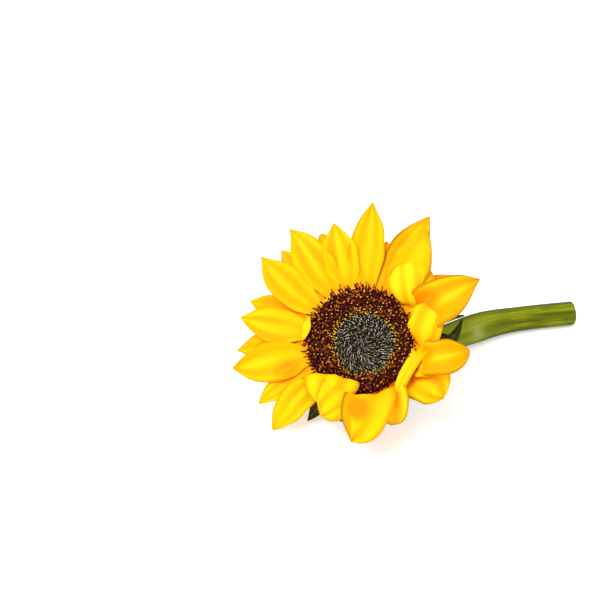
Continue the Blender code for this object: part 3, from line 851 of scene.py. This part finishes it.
def hair_tree():
    """Scatters hairs over a skin, each a little askew. Its cut face and what lies under Lowest stay bare."""
    tree = bpy.data.node_groups.new("hairs on a skin", "GeometryNodeTree")
    inputs = group_inputs(tree, {
        "Skin": "Object", "Hair": "Object", "Density": 100000.0, "Askew": 0.5, "Smallest": 0.6,
        "Largest": 1.2, "Lowest": 1.0 * MM, "Seed": 1, "Material": "Material",
    })
    seed = inputs["Seed"]
    place = add_node(tree, "GeometryNodeInputPosition")
    height = add_node(tree, "ShaderNodeSeparateXYZ", sockets={"Vector": place}, output="Z")
    hairy = (height > inputs["Lowest"]) * (named_value(tree, "cut") < 0.5)
    skin, hair = object_shape(tree, inputs["Skin"]), object_shape(tree, inputs["Hair"])
    sockets = {"Mesh": skin, "Selection": hairy, "Density": inputs["Density"], "Seed": seed}
    scatter = add_node(tree, "GeometryNodeDistributePointsOnFaces", {"distribute_method": "RANDOM"}, sockets)
    tilt = vector_of(
        tree, random_swing(tree, inputs["Askew"], seed + 1), random_swing(tree, inputs["Askew"], seed + 2),
        random_value(tree, 0.0, 2 * math.pi, seed + 3),
    )
    scale = random_value(tree, inputs["Smallest"], inputs["Largest"], seed + 4)
    finish_group(tree, scatter, hair, scatter.output("Rotation"), scale, tilt, inputs["Material"])
    return tree


def grown(name, tree, settings, place=None):
    """The plain mesh that a tree makes with these inputs, as an object with nothing live on it."""
    piece = bpy.data.objects.new(name, bpy.data.meshes.new(name))
    bpy.context.scene.collection.objects.link(piece)
    modifier = piece.modifiers.new("Grow", "NODES")
    modifier.node_group = tree
    inputs = [item for item in tree.interface.items_tree if item.in_out == "INPUT"]
    identifiers = {item.name: item.identifier for item in inputs}
    for label, value in settings.items():
        modifier[identifiers[label]] = value
    evaluated = piece.evaluated_get(bpy.context.evaluated_depsgraph_get())
    data = bpy.data.meshes.new_from_object(evaluated)
    piece.modifiers.remove(modifier)
    piece.data = data
    if place is not None:
        data.transform(place)
    data.shade_smooth()
    return piece


def floret_ring(sides, odd, even, shift, height):
    """A ring of corners round +Z, in millimetres, with a radius each for its odd and its even corners."""
    ring = []
    for side, angle in enumerate(turn_angles(sides)):
        radius = odd if side % 2 else even
        ring.append(((radius * math.cos(angle) + shift) * MM, radius * math.sin(angle) * MM, height * MM))
    return ring


def turned_floret(name, rings, sides):
    """A small closed floret along +Z.

    rings are the radius of the odd and of the even corners and the height, all in millimetres.
    """
    shape = Shape()
    heights = np.array([height for _, _, height in rings])
    circles = [floret_ring(sides, odd, even, 0, height) for odd, even, height in rings]
    add_rings(shape, circles, height=heights / max(heights))
    return shape.made(name)


def bristle(name, width, length, bend, sides=5, levels=5):
    """A slender pointed bristle along +Z that bends towards +X, in millimetres."""
    shape = Shape()
    shares = [level / levels for level in range(levels)] + [BRISTLE_TIP]
    circles = []
    for share in shares:
        radius = width / 2 * (1 - share ** 2.2)
        circles.append(floret_ring(sides, radius, radius, bend * share ** 2, share * length))
    add_rings(shape, circles, height=shares)
    return shape.made(name)


# Settings


class PetalSettings(bpy.types.PropertyGroup):
    """Ray florets"""

    thickness: bpy.props.FloatProperty(
        name="Thickness", description="Thickness in the middle of a petal", default=0.5 * MM, unit="LENGTH",
    )
    fold: bpy.props.FloatProperty(
        name="Fold height", description="Height of a petal's long soft folds", default=0.45 * MM,
        unit="LENGTH",
    )
    ripple: bpy.props.FloatProperty(
        name="Ripple", description="Height of the ripples in a petal's margins", default=0.8 * MM,
        unit="LENGTH",
    )
    # Petals are painted between these by their shade, which partly stands for painted light and shade
    yellow: bpy.props.FloatVectorProperty(
        name="Yellow", description="Colour of a plain petal", default=(1.0, 0.50, 0.001), subtype="COLOR",
    )
    ochre: bpy.props.FloatVectorProperty(
        name="Ochre", description="Colour of the warmer petals", default=(1.0, 0.37, 0.001), subtype="COLOR",
    )
    lemon: bpy.props.FloatVectorProperty(
        name="Lemon", description="Colour of the palest petals", default=(1.0, 0.68, 0.010), subtype="COLOR",
    )
    seed: bpy.props.IntProperty(name="Seed", description="Seed of the petals' small differences", default=11)


class BractSettings(bpy.types.PropertyGroup):
    """Bracts"""

    dark_green: bpy.props.FloatVectorProperty(
        name="Dark green", description="Darker colour of the mottled skin", default=(0.012, 0.022, 0.002),
        subtype="COLOR",
    )
    green: bpy.props.FloatVectorProperty(
        name="Green", description="Lighter colour of the mottled skin", default=(0.055, 0.080, 0.006),
        subtype="COLOR",
    )
    seed: bpy.props.IntProperty(name="Seed", description="Seed of the bracts' small differences", default=5)


class DiscSettings(bpy.types.PropertyGroup):
    """Disc florets"""

    floret_spacing: bpy.props.FloatProperty(
        name="Open florets", description="Spacing of the open florets on their spiral", default=1.08 * MM,
        unit="LENGTH",
    )
    bud_spacing: bpy.props.FloatProperty(
        name="Buds", description="Spacing of the closed florets in the middle", default=0.74 * MM,
        unit="LENGTH",
    )
    bristle_spacing: bpy.props.FloatProperty(
        name="Bristles", description="Spacing of the pale bristles between the buds", default=0.84 * MM,
        unit="LENGTH",
    )
    seed: bpy.props.IntProperty(name="Seed", description="Seed of the florets' small differences", default=3)


class StemSettings(bpy.types.PropertyGroup):
    """Stem"""

    rib_height: bpy.props.FloatProperty(
        name="Rib height", description="Height of the ribs along the stem", default=0.16 * MM, unit="LENGTH",
    )
    hair_density: bpy.props.FloatProperty(
        name="Hair density", description="Hairs to a square metre", default=280000.0,
    )
    dark_green: bpy.props.FloatVectorProperty(
        name="Dark green", description="Darker colour of the streaked skin", default=(0.09, 0.11, 0.001),
        subtype="COLOR",
    )
    green: bpy.props.FloatVectorProperty(
        name="Green", description="Lighter colour of the streaked skin", default=(0.25, 0.28, 0.003),
        subtype="COLOR",
    )
    seed: bpy.props.IntProperty(name="Seed", description="Seed of the hairs' places", default=7)


class StageSettings(bpy.types.PropertyGroup):
    """Stage"""

    floor_colour: bpy.props.FloatVectorProperty(
        name="Floor", description="Colour of the floor", default=(0.85, 0.85, 0.85), subtype="COLOR",
    )
    floor_glow: bpy.props.FloatProperty(
        name="Floor glow", description="Light from the floor itself, as from a light table", default=0.4,
    )
    key_power: bpy.props.FloatProperty(
        name="Key light", description="Power of the large light above", default=10.0, unit="POWER",
    )
    sky: bpy.props.FloatProperty(
        name="Sky", description="Strength of the even light from all round", default=0.9,
    )


# Pieces


def blade_half_width(width, share, narrowest, widest_at, tapering, fullness, nub):
    """Half a blade's width at a share of its length, with a small round nub at its tip."""
    if share < widest_at:
        rise = math.sin(0.5 * math.pi * share / widest_at)
        profile = narrowest + (1 - narrowest) * rise ** 1.1
    else:
        fall = (share - widest_at) / (1 - widest_at)
        profile = (1 - fall ** tapering) ** fullness
    closing = math.sqrt(max(1 - max(share - 1 + NUB_SPAN, 0) ** 2 / NUB_SPAN ** 2, 0.02))
    return ((width * profile) ** 3 + (nub * closing) ** 3) ** (1 / 3) / 2


def blade_grid(blade, root, claw, rows, columns, half_width, relief):
    """A blade's middle surface as a grid of points, with how far along and across it each one lies.

    claw is how far it reaches back behind its root, in metres. Its rows are a little closer at the tip and
    its columns at the margins.
    """
    length = blade.length * MM
    shares = np.concatenate([[-claw / length], np.linspace(0, 1, rows) ** ROW_POWER])
    acrosses = np.sin(np.linspace(-1, 1, columns) * COLUMN_TURN) / math.sin(COLUMN_TURN)
    centre = on_head(root[0], math.radians(blade.at), root[1])
    grid = np.zeros((len(shares), columns, 3))
    for row, place in enumerate(shares):
        share = max(place, 0)
        _, right, above = blade_direction(blade, share)
        turn_share = between(CUP_STATIONS, CUP_SHARES, share)
        for column, across in enumerate(acrosses):
            half = half_width(share, across)
            turn = math.radians(blade.cup[0] if across < 0 else blade.cup[1]) * turn_share
            beside = half * across
            raised = relief(share, across)
            if turn:
                beside = half * math.sin(turn * across) / turn
                raised += half * (1 - math.cos(turn * across)) / turn
            grid[row, column] = along_table(centre + right * beside + above * raised, BLADE_THICKNESS)
        if row + 1 < len(shares):
            stride = (shares[row + 1] - place) / STRIDES
            for step in range(STRIDES):
                ahead = blade_direction(blade, max(place + stride * (step + 0.5), 0))[0]
                centre = centre + ahead * (length * stride)
    return grid, np.maximum(shares, 0)[:, None], acrosses[None, :]


def margin_waves(draw, counts, strengths=None):
    """Waves along a blade, others on its left half than on its right. They are 1 high if none is drawn."""
    halves = []
    for _ in range(2):
        count, phase = draw.uniform(*counts), draw.uniform(*PHASES)
        halves.append((count, phase, draw.uniform(*strengths) if strengths else 1))

    def waves(share, across):
        count, phase, strength = halves[0 if across < 0 else 1]
        return strength * math.sin(2 * math.pi * count * share + phase)

    return waves


def petal_outline(blade, draw):
    """Half a petal's width at a place on it."""
    waves = margin_waves(draw, (1.2, 2.6))

    def half_width(share, across):
        half = blade_half_width(
            blade.width * MM, share, narrowest=0.5, widest_at=blade.widest, tapering=2 + 1.5 * blade.blunt,
            fullness=1.2 - 0.7 * blade.blunt, nub=(1.3 + 3 * blade.blunt) * MM,
        )
        fuller = 1 + (between((-0.4, 0.4), blade.sides, across) - 1) * min(share / 0.25, 1)
        return half * fuller * (1 + OUTLINE_WAVE * abs(across) * waves(share, across))

    return half_width


def petal_folds(draw):
    """A petal's long soft folds: 1 on a ridge and -1 in a valley, at a place on it."""
    count = draw.uniform(0.9, 1.7)
    phase = draw.uniform(-1.6, 1.6)
    sway = draw.uniform(-1.2, 1.2)
    pulse = draw.uniform(*PHASES)

    def folds(share, across):
        strength = 0.7 + 0.3 * math.sin(5 * share + pulse)
        turn = 2 * math.pi * count * across / (1 + 0.15 * abs(across))
        return strength * math.cos(turn + phase + sway * share)

    return folds


def petal_relief(blade, settings, draw, folds):
    """The height of a petal's folds, fine pleats and rippled margins above its middle surface."""
    width = blade.width / USUAL_WIDTH
    pleats = draw.uniform(4.2, 5.4)
    pleat_phase = draw.uniform(*PHASES)
    ripples = margin_waves(draw, (1.1, 2.1), (0.5, 1.2))
    bow = draw.uniform(-BOW_HEIGHT, BOW_HEIGHT)

    def relief(share, across):
        grown = min(share / 0.3, 1) * (1 - 0.55 * share)
        height = settings.fold * width * blade.crease * folds(share, across) * grown
        height += PLEAT_HEIGHT * width * math.cos(pleats * math.pi * across + pleat_phase) * grown
        margin = abs(across) ** 2.5 * min(max(share - 0.12, 0) / 0.25, 1) * (1 - 0.5 * share)
        height += settings.ripple * blade.wave * margin * ripples(share, across)
        return height + bow * math.sin(2 * math.pi * share) * grown

    return relief


def hollow_shade_depth(blade, along, across):
    """How much painted shade deepens the colour over a petal: 1 in its hollow, fading away from it."""
    share, side, depth, reach = blade.hollow
    apart = ((along - share) / HOLLOW_LENGTH) ** 2 + ((across - side) / HOLLOW_WIDTH) ** 2
    return depth * np.exp(-apart / reach ** 2)


def margin_thickness(acrosses, shares, thickness):
    """Thick in the middle and at the root, thin at the margins and the tip."""
    return thickness * (1 - 0.5 * np.abs(acrosses) ** 3) * (1.25 - 0.55 * shares)


def make_petals():
    settings = bpy.context.scene.sunflower_petals
    shape = Shape()
    draw = random.Random(settings.seed)
    for number, blade in enumerate(PETALS):
        root = (ROOT_RADIUS, BACK_ROOT if blade.back else FRONT_ROOT)
        half_width = petal_outline(blade, draw)
        folds = petal_folds(draw)
        relief = petal_relief(blade, settings, draw, folds)
        grid, along, across = blade_grid(
            blade, root, CLAW_LENGTH, PETAL_ROWS, PETAL_COLUMNS, half_width, relief,
        )
        thickness = margin_thickness(across, along, settings.thickness)
        add_sheet(
            shape, grid, thickness, along=along, across=across, shade=blade.shade, seed=number,
            # rim, fold and hollow carry how much painted shade and painted highlight each place of the petal
            # gets
            rim=np.interp(across, (-0.3, 0.3), blade.rim),
            fold=np.vectorize(folds)(along, across) * min(0.3 + 0.7 * blade.crease, 1),
            hollow=hollow_shade_depth(blade, along, across),
        )
    ring = (
        (RING_INNER, RING_TOP, 0), (RING_OUTER - 0.5 * MM, RING_TOP, 0),
        (RING_OUTER + 0.2 * MM, -3.2 * MM, 0), (RING_OUTER, DISC_BOTTOM, 0), (RING_INNER, DISC_BOTTOM, 0),
    )
    # The ring carries a little painted shade, as hollow says
    add_turned(shape, ring, along=0.05, across=0, shade=0.5, rim=0, seed=50, fold=0, hollow=0.2)
    piece = shape.made("ray_petals")
    piece.data.materials.append(petal_material(settings))
    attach(piece, BODY)
    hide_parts("ray_florets")


def bract_list(seed):
    """All bracts, with the radius and height that each is rooted at."""
    draw = random.Random(seed)
    found = []
    for whorl in WHORLS:
        for number in range(whorl.count):
            at = whorl.first + 360 * number / whorl.count + draw.uniform(-BRACT_SHIFT, BRACT_SHIFT)
            length = whorl.length + draw.uniform(-BRACT_GROWTH, BRACT_GROWTH)
            slope = draw.uniform(-BRACT_SLOPE, BRACT_SLOPE)
            lift = tuple(angle + slope for angle in whorl.lift)
            bearing = (0, draw.uniform(-BRACT_SWING, BRACT_SWING))
            blade = Blade(at, length, whorl.width, lift, bearing, cup=(25, 25))
            found.append((blade, (whorl.radius, whorl.height)))
    return found + list(LONG_BRACTS)


def bract_relief(draw):
    """The height of a bract's keel, pleats and rippled margins above its middle surface."""
    ripples = margin_waves(draw, (1.0, 2.0))

    def relief(share, across):
        grown = min(share / 0.3, 1)
        height = -KEEL_DEPTH * math.exp(-(across / KEEL_WIDTH) ** 2) * grown
        height += BRACT_PLEAT * math.cos(BRACT_PLEATS * math.pi * across) * grown
        return height + BRACT_RIPPLE * abs(across) ** 2 * grown * ripples(share, across)

    return relief


def receptacle_rings():
    """The receptacle's section turned about the head's axis, with shallow lobes below its rim."""
    section = [RECEPTACLE[1]]
    for start, end in zip(RECEPTACLE[1:-1], RECEPTACLE[2:-1]):
        section += [tuple(np.array(start) + (np.array(end) - start) * share) for share in (0.34, 0.67, 1)]
    rings = []
    for radius, height in section:
        ring = []
        for angle in turn_angles(RECEPTACLE_SIDES):
            swell = 1 + LOBE_SWELL * math.cos(LOBES * angle) * (radius < RIM_RADIUS)
            ring.append(tuple(on_head(radius * swell * MM, angle, height * MM)))
        rings.append(ring)
    return rings


def make_involucre():
    settings = bpy.context.scene.sunflower_bracts
    shape = Shape()
    draw = random.Random(settings.seed + 1)
    for number, (blade, root) in enumerate(bract_list(settings.seed)):
        relief = bract_relief(draw)

        def half_width(share, _):
            return blade_half_width(
                blade.width * MM, share, narrowest=0.6, widest_at=0.3, tapering=1.5, fullness=0.95,
                nub=BRACT_NUB,
            )

        grid, along, across = blade_grid(
            blade, root, BRACT_CLAW, BRACT_ROWS, BRACT_COLUMNS, half_width, relief,
        )
        thickness = margin_thickness(across, along, BRACT_THICKNESS)
        add_sheet(shape, grid, thickness, along=along, across=across, seed=number)
    add_rings(shape, receptacle_rings(), along=0, across=0.5, seed=40)
    piece = shape.made("involucre_bracts")
    piece.data.materials.append(bract_material(settings))
    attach(piece, BODY)
    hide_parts("involucre")


def smooth_course(points, steps):
    """Points on a smooth curve through all the given ones."""
    ends = [points[0] * 2 - points[1]] + points + [points[-1] * 2 - points[-2]]
    course = []
    for before, start, end, after in zip(ends, ends[1:], ends[2:], ends[3:]):
        for step in range(steps):
            t = step / steps
            course.append(0.5 * (
                2 * start + (end - before) * t + (2 * before - 5 * start + 4 * end - after) * t ** 2
                + (3 * start - before - 3 * end + after) * t ** 3
            ))
    return course + [points[-1]]


def stem_path(steps):
    """The stem's middle points and radii, from the head to the cut end."""
    neck = on_head(0, 0, RECEPTACLE[-1][1] * MM + NECK_OVERLAP)
    points = [neck, neck - FACE * NECK_LENGTH]
    for number, place in enumerate(STEM_COURSE):
        share = (number + 2) / (len(STEM_COURSE) + 1)
        radius = STEM_RADIUS + (STEM_END_RADIUS - STEM_RADIUS) * share
        height = place[2] * MM if len(place) > 2 else radius - STEM_FLAT
        points.append(Vector((place[0] * MM, place[1] * MM, height)))
    course = smooth_course(points, steps)
    path = []
    for number, point in enumerate(course):
        share = number / (len(course) - 1)
        radius = STEM_RADIUS + (STEM_END_RADIUS - STEM_RADIUS) * share
        radius += (NECK_RADIUS - STEM_RADIUS) * max(1 - NECK_TAPER * share, 0) ** 2
        radius += NODE_SWELL * math.exp(-((point.x - SCAR_PLACE.x) / NODE_REACH) ** 2)
        path.append((point, radius, share))
    return path


def close_end(path):
    """Gives a path a rounded edge and a slightly hollow cut face, and returns its end's radius."""
    end, end_radius, _ = path.pop()
    back = (path[-1][0] - end).normalized()
    while (path[-1][0] - end).length < CUT_EDGE * 1.05:
        path.pop()
    for number in range(EDGE_STEPS + 1):
        turn = 0.5 * math.pi * number / EDGE_STEPS
        place = end + back * CUT_EDGE * (1 - math.sin(turn))
        path.append((place, end_radius - CUT_EDGE * (1 - math.cos(turn)), 1.0))
    for share in (0.55, 0.25):
        path.append((end + back * CUT_HOLLOW * (1 - share), end_radius * share, 1.0))
    return end_radius


def scar_relief(place):
    """How far the leaf scar lifts a place on the stem, and how much of the scar's colour is there."""
    distance = (place - SCAR_PLACE).length
    bump = math.exp(-(distance / SCAR_RADIUS) ** 2)
    rim = math.exp(-((distance - SCAR_RIM_RADIUS) / SCAR_RIM_WIDTH) ** 2)
    return SCAR_HEIGHT * bump + SCAR_RIM_HEIGHT * rim, bump * 0.8


def make_stem():
    settings = bpy.context.scene.sunflower_stem
    path = stem_path(STEM_STEPS)
    end_radius = close_end(path)
    # Corners are counted backwards, so that the faces look outwards
    turns = [-corner / STEM_SIDES for corner in range(STEM_SIDES)]
    rings, along, scars, cuts = [], [], [], []
    for number, (point, radius, share) in enumerate(path):
        if number == 0:
            ahead = -FACE
        elif share < 1:
            ahead = path[number + 1][0] - path[number - 1][0]
        side = ahead.cross(Vector((0, 0, 1))).normalized()
        top = side.cross(ahead).normalized()
        cut = radius < end_radius - 0.9 * CUT_EDGE
        ring, scar_row = [], []
        for turn in turns:
            angle = 2 * math.pi * turn
            direction = side * math.sin(angle) - top * math.cos(angle)
            reach, scar = radius, 0
            if not cut:
                ribs = 0.6 * math.cos(12 * angle) + 0.4 * math.cos(7 * angle + 6 * share + 1.3)
                lift, scar = scar_relief(point + direction * radius)
                reach += settings.rib_height * ribs + lift
            place = point + direction * reach
            place.z = max(place.z, 0)
            ring.append(tuple(place))
            scar_row.append(scar)
        rings.append(ring)
        along.append(share)
        scars.append(scar_row)
        cuts.append(float(cut))
    shape = Shape()
    add_rings(shape, rings, along=along, around=[turns] * len(rings), scar=scars, cut=cuts)
    piece = shape.made("stem_skin")
    piece.data.materials.append(stem_material(settings))
    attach(piece, BODY)
    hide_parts("stem")
    hairs_on(piece, "stem_hairs", settings.hair_density, settings.seed)


def hairs_on(skin, name, density, seed):
    """Short pale hairs all over a skin."""
    hair = bristle("hair", 0.06, 0.8, 0.15, sides=3, levels=2)
    pale = plain_material("pale hair", (0.55, 0.58, 0.20), (0.40, 0.44, 0.08), 500.0, 0.5)
    settings = {"Skin": skin, "Hair": hair, "Density": density, "Seed": seed, "Material": pale}
    piece = grown(name, hair_tree(), settings)
    bpy.data.objects.remove(hair)
    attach(piece, BODY)


def disc_bed(name, section, material, node):
    """The solid ground that a zone's florets stand on. It stands for the zone's CAD node."""
    shape = Shape()
    add_turned(shape, [(radius * MM, height * MM, shift) for radius, height, shift in section])
    piece = shape.made(name)
    piece.data.materials.append(material)
    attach(piece, BODY)
    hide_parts(node)


def add_florets(name, tree, floret, settings):
    """A zone of florets as one piece. The pattern floret stays for other zones."""
    piece = grown(name, tree, {"Floret": floret, **settings}, HEAD)
    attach(piece, BODY)


def make_open_florets():
    settings = bpy.context.scene.sunflower_disc
    tree = spiral_tree()
    ground = plain_material("floret ground", (0.020, 0.004, 0.003), (0.070, 0.016, 0.008), 900.0, 0.9)
    section = (
        (17.3, -0.4, 1), (19.7, 0.8, 0.8), (23.2, 1.2, 0.45), (26.6, 0.0, 0.18), (28.1, -1.2, 0),
        (24.3, -1.3, 0), (24.3, -5, 0), (17.3, -5, 1),
    )
    disc_bed("open_floret_ground", section, ground, "disc_open_florets")
    maroon = floret_material(
        "open floret maroon", low=(0.010, 0.001, 0.001), middle=(0.070, 0.003, 0.004),
        lip=(0.25, 0.009, 0.010), top=(0.012, 0.002, 0.003), grains=(0.75, 0.20, 0.01),
    )
    rings = (
        (0.30, 0.30, 0.0), (0.40, 0.40, 2.2), (0.74, 0.42, 3.0), (0.28, 0.24, 2.7), (0.22, 0.22, 3.4),
        (0.36, 0.36, 3.8), (0.30, 0.30, 4.2), (0.08, 0.08, 4.4),
    )
    floret = turned_floret("open_floret_pattern", rings, 10)
    add_florets("open_florets", tree, floret, {
        "Spacing": settings.floret_spacing, "Innermost": 1.02, "Outermost": 1.94, "Height": -3.0 * MM,
        "Jitter": 0.25 * MM, "Inner lean": -0.15, "Outer lean": 0.45, "Lean spread": 0.25, "Smallest": 1.0,
        "Largest": 1.4, "Seed": settings.seed, "Material": maroon,
    })
    add_florets("rim_florets", tree, floret, {
        "Spacing": 0.92 * MM, "Innermost": 1.92, "Outermost": 2.01, "Height": -2.2 * MM, "Jitter": 0.5 * MM,
        "Inner lean": 0.6, "Outer lean": 0.9, "Lean spread": 0.45, "Smallest": 0.75, "Largest": 1.05,
        "Bare angle": math.radians(62), "Seed": settings.seed + 20, "Material": maroon,
    })
    bpy.data.objects.remove(floret)
    pollen = plain_material("pollen", (0.80, 0.17, 0.006), (1.0, 0.58, 0.04), 700.0, 0.7)
    grain = turned_floret("pollen_pattern", ((0.22, 0.22, 0.0), (0.36, 0.36, 0.25), (0.22, 0.22, 0.5)), 6)
    add_florets("pollen", tree, grain, {
        "Spacing": 1.12 * MM, "Innermost": 1.02, "Outermost": 1.96, "Height": 0.9 * MM, "Jitter": 0.75 * MM,
        "Lean spread": 1.0, "Smallest": 0.15, "Largest": 1.5, "Seed": settings.seed + 40, "Material": pollen,
    })
    bpy.data.objects.remove(grain)


def make_buds():
    settings = bpy.context.scene.sunflower_disc
    tree = spiral_tree()
    ground = plain_material("bud ground", (0.012, 0.010, 0.005), (0.045, 0.038, 0.015), 900.0, 0.9)
    section = ((1.0, -0.1, 1), (8, 0.4, 1), (14, 0.2, 1), (17.0, -0.4, 1), (17, -5, 1), (1, -5, 1))
    disc_bed("bud_ground", section, ground, "disc_buds")
    green = floret_material(
        "bud grey green", low=(0.005, 0.004, 0.002), middle=(0.014, 0.012, 0.006), lip=(0.042, 0.036, 0.013),
        top=(0.095, 0.078, 0.032), grains=(0.18, 0.14, 0.07),
    )
    bud = bristle("bud_pattern", 0.9, 3.6, 0.9)
    add_florets("buds", tree, bud, {
        "Spacing": settings.bud_spacing, "Height": -2.4 * MM, "Jitter": 0.3 * MM, "Inner lean": -0.5,
        "Outer lean": -0.75, "Lean spread": 0.3, "Swirl": 0.5, "Spin": 0.5, "Smallest": 0.85, "Largest": 1.2,
        "Seed": settings.seed + 60, "Material": green,
    })
    bpy.data.objects.remove(bud)
    # Pale bristles between the buds; their near-white colour is partly painted highlight, for the glints on
    # the buds
    pale_bristle_glint = plain_material("pale bristle", (1.0, 0.92, 1.0), (0.66, 0.50, 0.34), 400.0, 0.45)
    hair = bristle("bristle_pattern", 0.45, 3.0, 1.5, sides=4)
    add_florets("bud_bristles", tree, hair, {
        "Spacing": settings.bristle_spacing, "Height": -1.2 * MM, "Jitter": 0.6 * MM, "Inner lean": -0.8,
        "Outer lean": -1.0, "Lean spread": 0.35, "Swirl": 0.5, "Spin": 0.7, "Smallest": 0.6,
        "Seed": settings.seed + 80, "Material": pale_bristle_glint,
    })
    bpy.data.objects.remove(hair)
    yellow = floret_material(
        "young floret yellow", low=(0.10, 0.07, 0.01), middle=(0.60, 0.33, 0.02), lip=(0.95, 0.60, 0.03),
        top=(1.0, 0.70, 0.05), grains=(1.0, 0.76, 0.12),
    )
    young = bristle("young_floret_pattern", 0.95, 2.8, 0.4)
    add_florets("young_florets", tree, young, {
        "Spacing": 0.74 * MM, "Innermost": 0.92, "Outermost": 1.12, "Height": 0.2 * MM, "Jitter": 0.7 * MM,
        "Inner lean": -0.4, "Outer lean": -0.2, "Lean spread": 0.4, "Spin": 0.5, "Smallest": 0.6,
        "Largest": 1.1, "Seed": settings.seed + 100, "Material": yellow,
    })
    bpy.data.objects.remove(young)


# Stage


def add_light(name, place, target, size, power):
    """A round white lamp that is turned to its target."""
    data = bpy.data.lights.new(name, "AREA")
    data.shape = "DISK"
    data.size = size
    data.energy = power
    light = bpy.data.objects.new(name, data)
    light.location = place
    light.rotation_euler = (Vector(target) - Vector(place)).to_track_quat("-Z", "Y").to_euler()
    bpy.context.scene.collection.objects.link(light)


def make_stage():
    settings = bpy.context.scene.sunflower_stage
    scene = bpy.context.scene
    scene.view_settings.view_transform = "Standard"
    signs = ((-1, -1), (1, -1), (1, 1), (-1, 1))
    data = bpy.data.meshes.new("floor")
    data.from_pydata([(x * FLOOR_HALF, y * FLOOR_HALF, 0) for x, y in signs], [], [(0, 1, 2, 3)])
    floor = bpy.data.objects.new("floor", data)
    scene.collection.objects.link(floor)
    paint = Paint("pale floor", Emission_Color=(1, 1, 1, 1), Emission_Strength=settings.floor_glow)
    paint.colour = settings.floor_colour
    data.materials.append(paint.finish(0.6))
    world = bpy.data.worlds.new("studio")
    scene.world = world
    world.use_nodes = True
    background = world.node_tree.nodes["Background"]
    background.inputs["Color"].default_value = (1, 1, 1, 1)
    background.inputs["Strength"].default_value = settings.sky
    add_light("key", (-0.45, -0.35, 0.95), HEAD_CENTRE, size=0.7, power=settings.key_power)
    add_camera()


def add_camera():
    """Looks along +Y and down at the photo's angle, framed as the photo frames the flower."""
    elevation = math.radians(35)
    distance = 0.75
    across, above = -34.1 * MM, 23.1 * MM
    width_to_distance = 0.42
    away = Vector((0, -math.cos(elevation), math.sin(elevation)))
    image_up = Vector((0, math.sin(elevation), math.cos(elevation)))
    target = VIEW_CENTRE + Vector((across, 0, 0)) + image_up * above
    data = bpy.data.cameras.new("camera")
    data.sensor_width = 36
    data.lens = data.sensor_width / width_to_distance
    camera = bpy.data.objects.new("camera", data)
    camera.location = target + away * distance
    camera.rotation_euler = (-away).to_track_quat("-Z", "Y").to_euler()
    bpy.context.scene.collection.objects.link(camera)
    bpy.context.scene.camera = camera


# Operators and panel


class SUNFLOWER_OT_petals(bpy.types.Operator):
    """Builds the ray florets on their ring"""

    bl_idname = "sunflower.petals"
    bl_label = "Petals"

    def execute(self, context):
        make_petals()
        return {"FINISHED"}


class SUNFLOWER_OT_involucre(bpy.types.Operator):
    """Builds the receptacle with its bracts"""

    bl_idname = "sunflower.involucre"
    bl_label = "Bracts"

    def execute(self, context):
        make_involucre()
        return {"FINISHED"}


class SUNFLOWER_OT_stem(bpy.types.Operator):
    """Builds the stem and its hairs"""

    bl_idname = "sunflower.stem"
    bl_label = "Stem"

    def execute(self, context):
        make_stem()
        return {"FINISHED"}


class SUNFLOWER_OT_open_florets(bpy.types.Operator):
    """Builds the disc's outer zone of open florets with their pollen"""

    bl_idname = "sunflower.open_florets"
    bl_label = "Open florets"

    def execute(self, context):
        make_open_florets()
        return {"FINISHED"}


class SUNFLOWER_OT_buds(bpy.types.Operator):
    """Builds the middle of the disc, with its buds and pale bristles"""

    bl_idname = "sunflower.buds"
    bl_label = "Buds"

    def execute(self, context):
        make_buds()
        return {"FINISHED"}


class SUNFLOWER_OT_stage(bpy.types.Operator):
    """Sets up the floor, the light and the camera"""

    bl_idname = "sunflower.stage"
    bl_label = "Stage"

    def execute(self, context):
        make_stage()
        return {"FINISHED"}


OPERATORS = (
    SUNFLOWER_OT_petals, SUNFLOWER_OT_involucre, SUNFLOWER_OT_stem, SUNFLOWER_OT_open_florets,
    SUNFLOWER_OT_buds, SUNFLOWER_OT_stage,
)
SETTINGS = {
    "sunflower_petals": PetalSettings,
    "sunflower_bracts": BractSettings,
    "sunflower_disc": DiscSettings,
    "sunflower_stem": StemSettings,
    "sunflower_stage": StageSettings,
}


class SUNFLOWER_PT_panel(bpy.types.Panel):
    """Lists the flower's settings and operators"""

    bl_label = "Sunflower"
    bl_space_type = "VIEW_3D"
    bl_region_type = "UI"
    bl_category = "Sunflower"

    def draw(self, context):
        for name, group in SETTINGS.items():
            box = self.layout.box()
            for label in group.__annotations__:
                box.prop(getattr(context.scene, name), label)
        for operator in OPERATORS:
            self.layout.operator(operator.bl_idname)


def register():
    for group in (*SETTINGS.values(), *OPERATORS, SUNFLOWER_PT_panel):
        bpy.utils.register_class(group)
    for name, group in SETTINGS.items():
        setattr(bpy.types.Scene, name, bpy.props.PointerProperty(type=group))


def unregister():
    for name in SETTINGS:
        delattr(bpy.types.Scene, name)
    for group in (SUNFLOWER_PT_panel, *OPERATORS, *SETTINGS.values()):
        bpy.utils.unregister_class(group)


def main():
    register()
    bpy.ops.sunflower.petals()
    bpy.ops.sunflower.involucre()
    bpy.ops.sunflower.stem()
    bpy.ops.sunflower.open_florets()
    bpy.ops.sunflower.buds()
    bpy.ops.sunflower.stage()


if __name__ == "__main__":
    main()
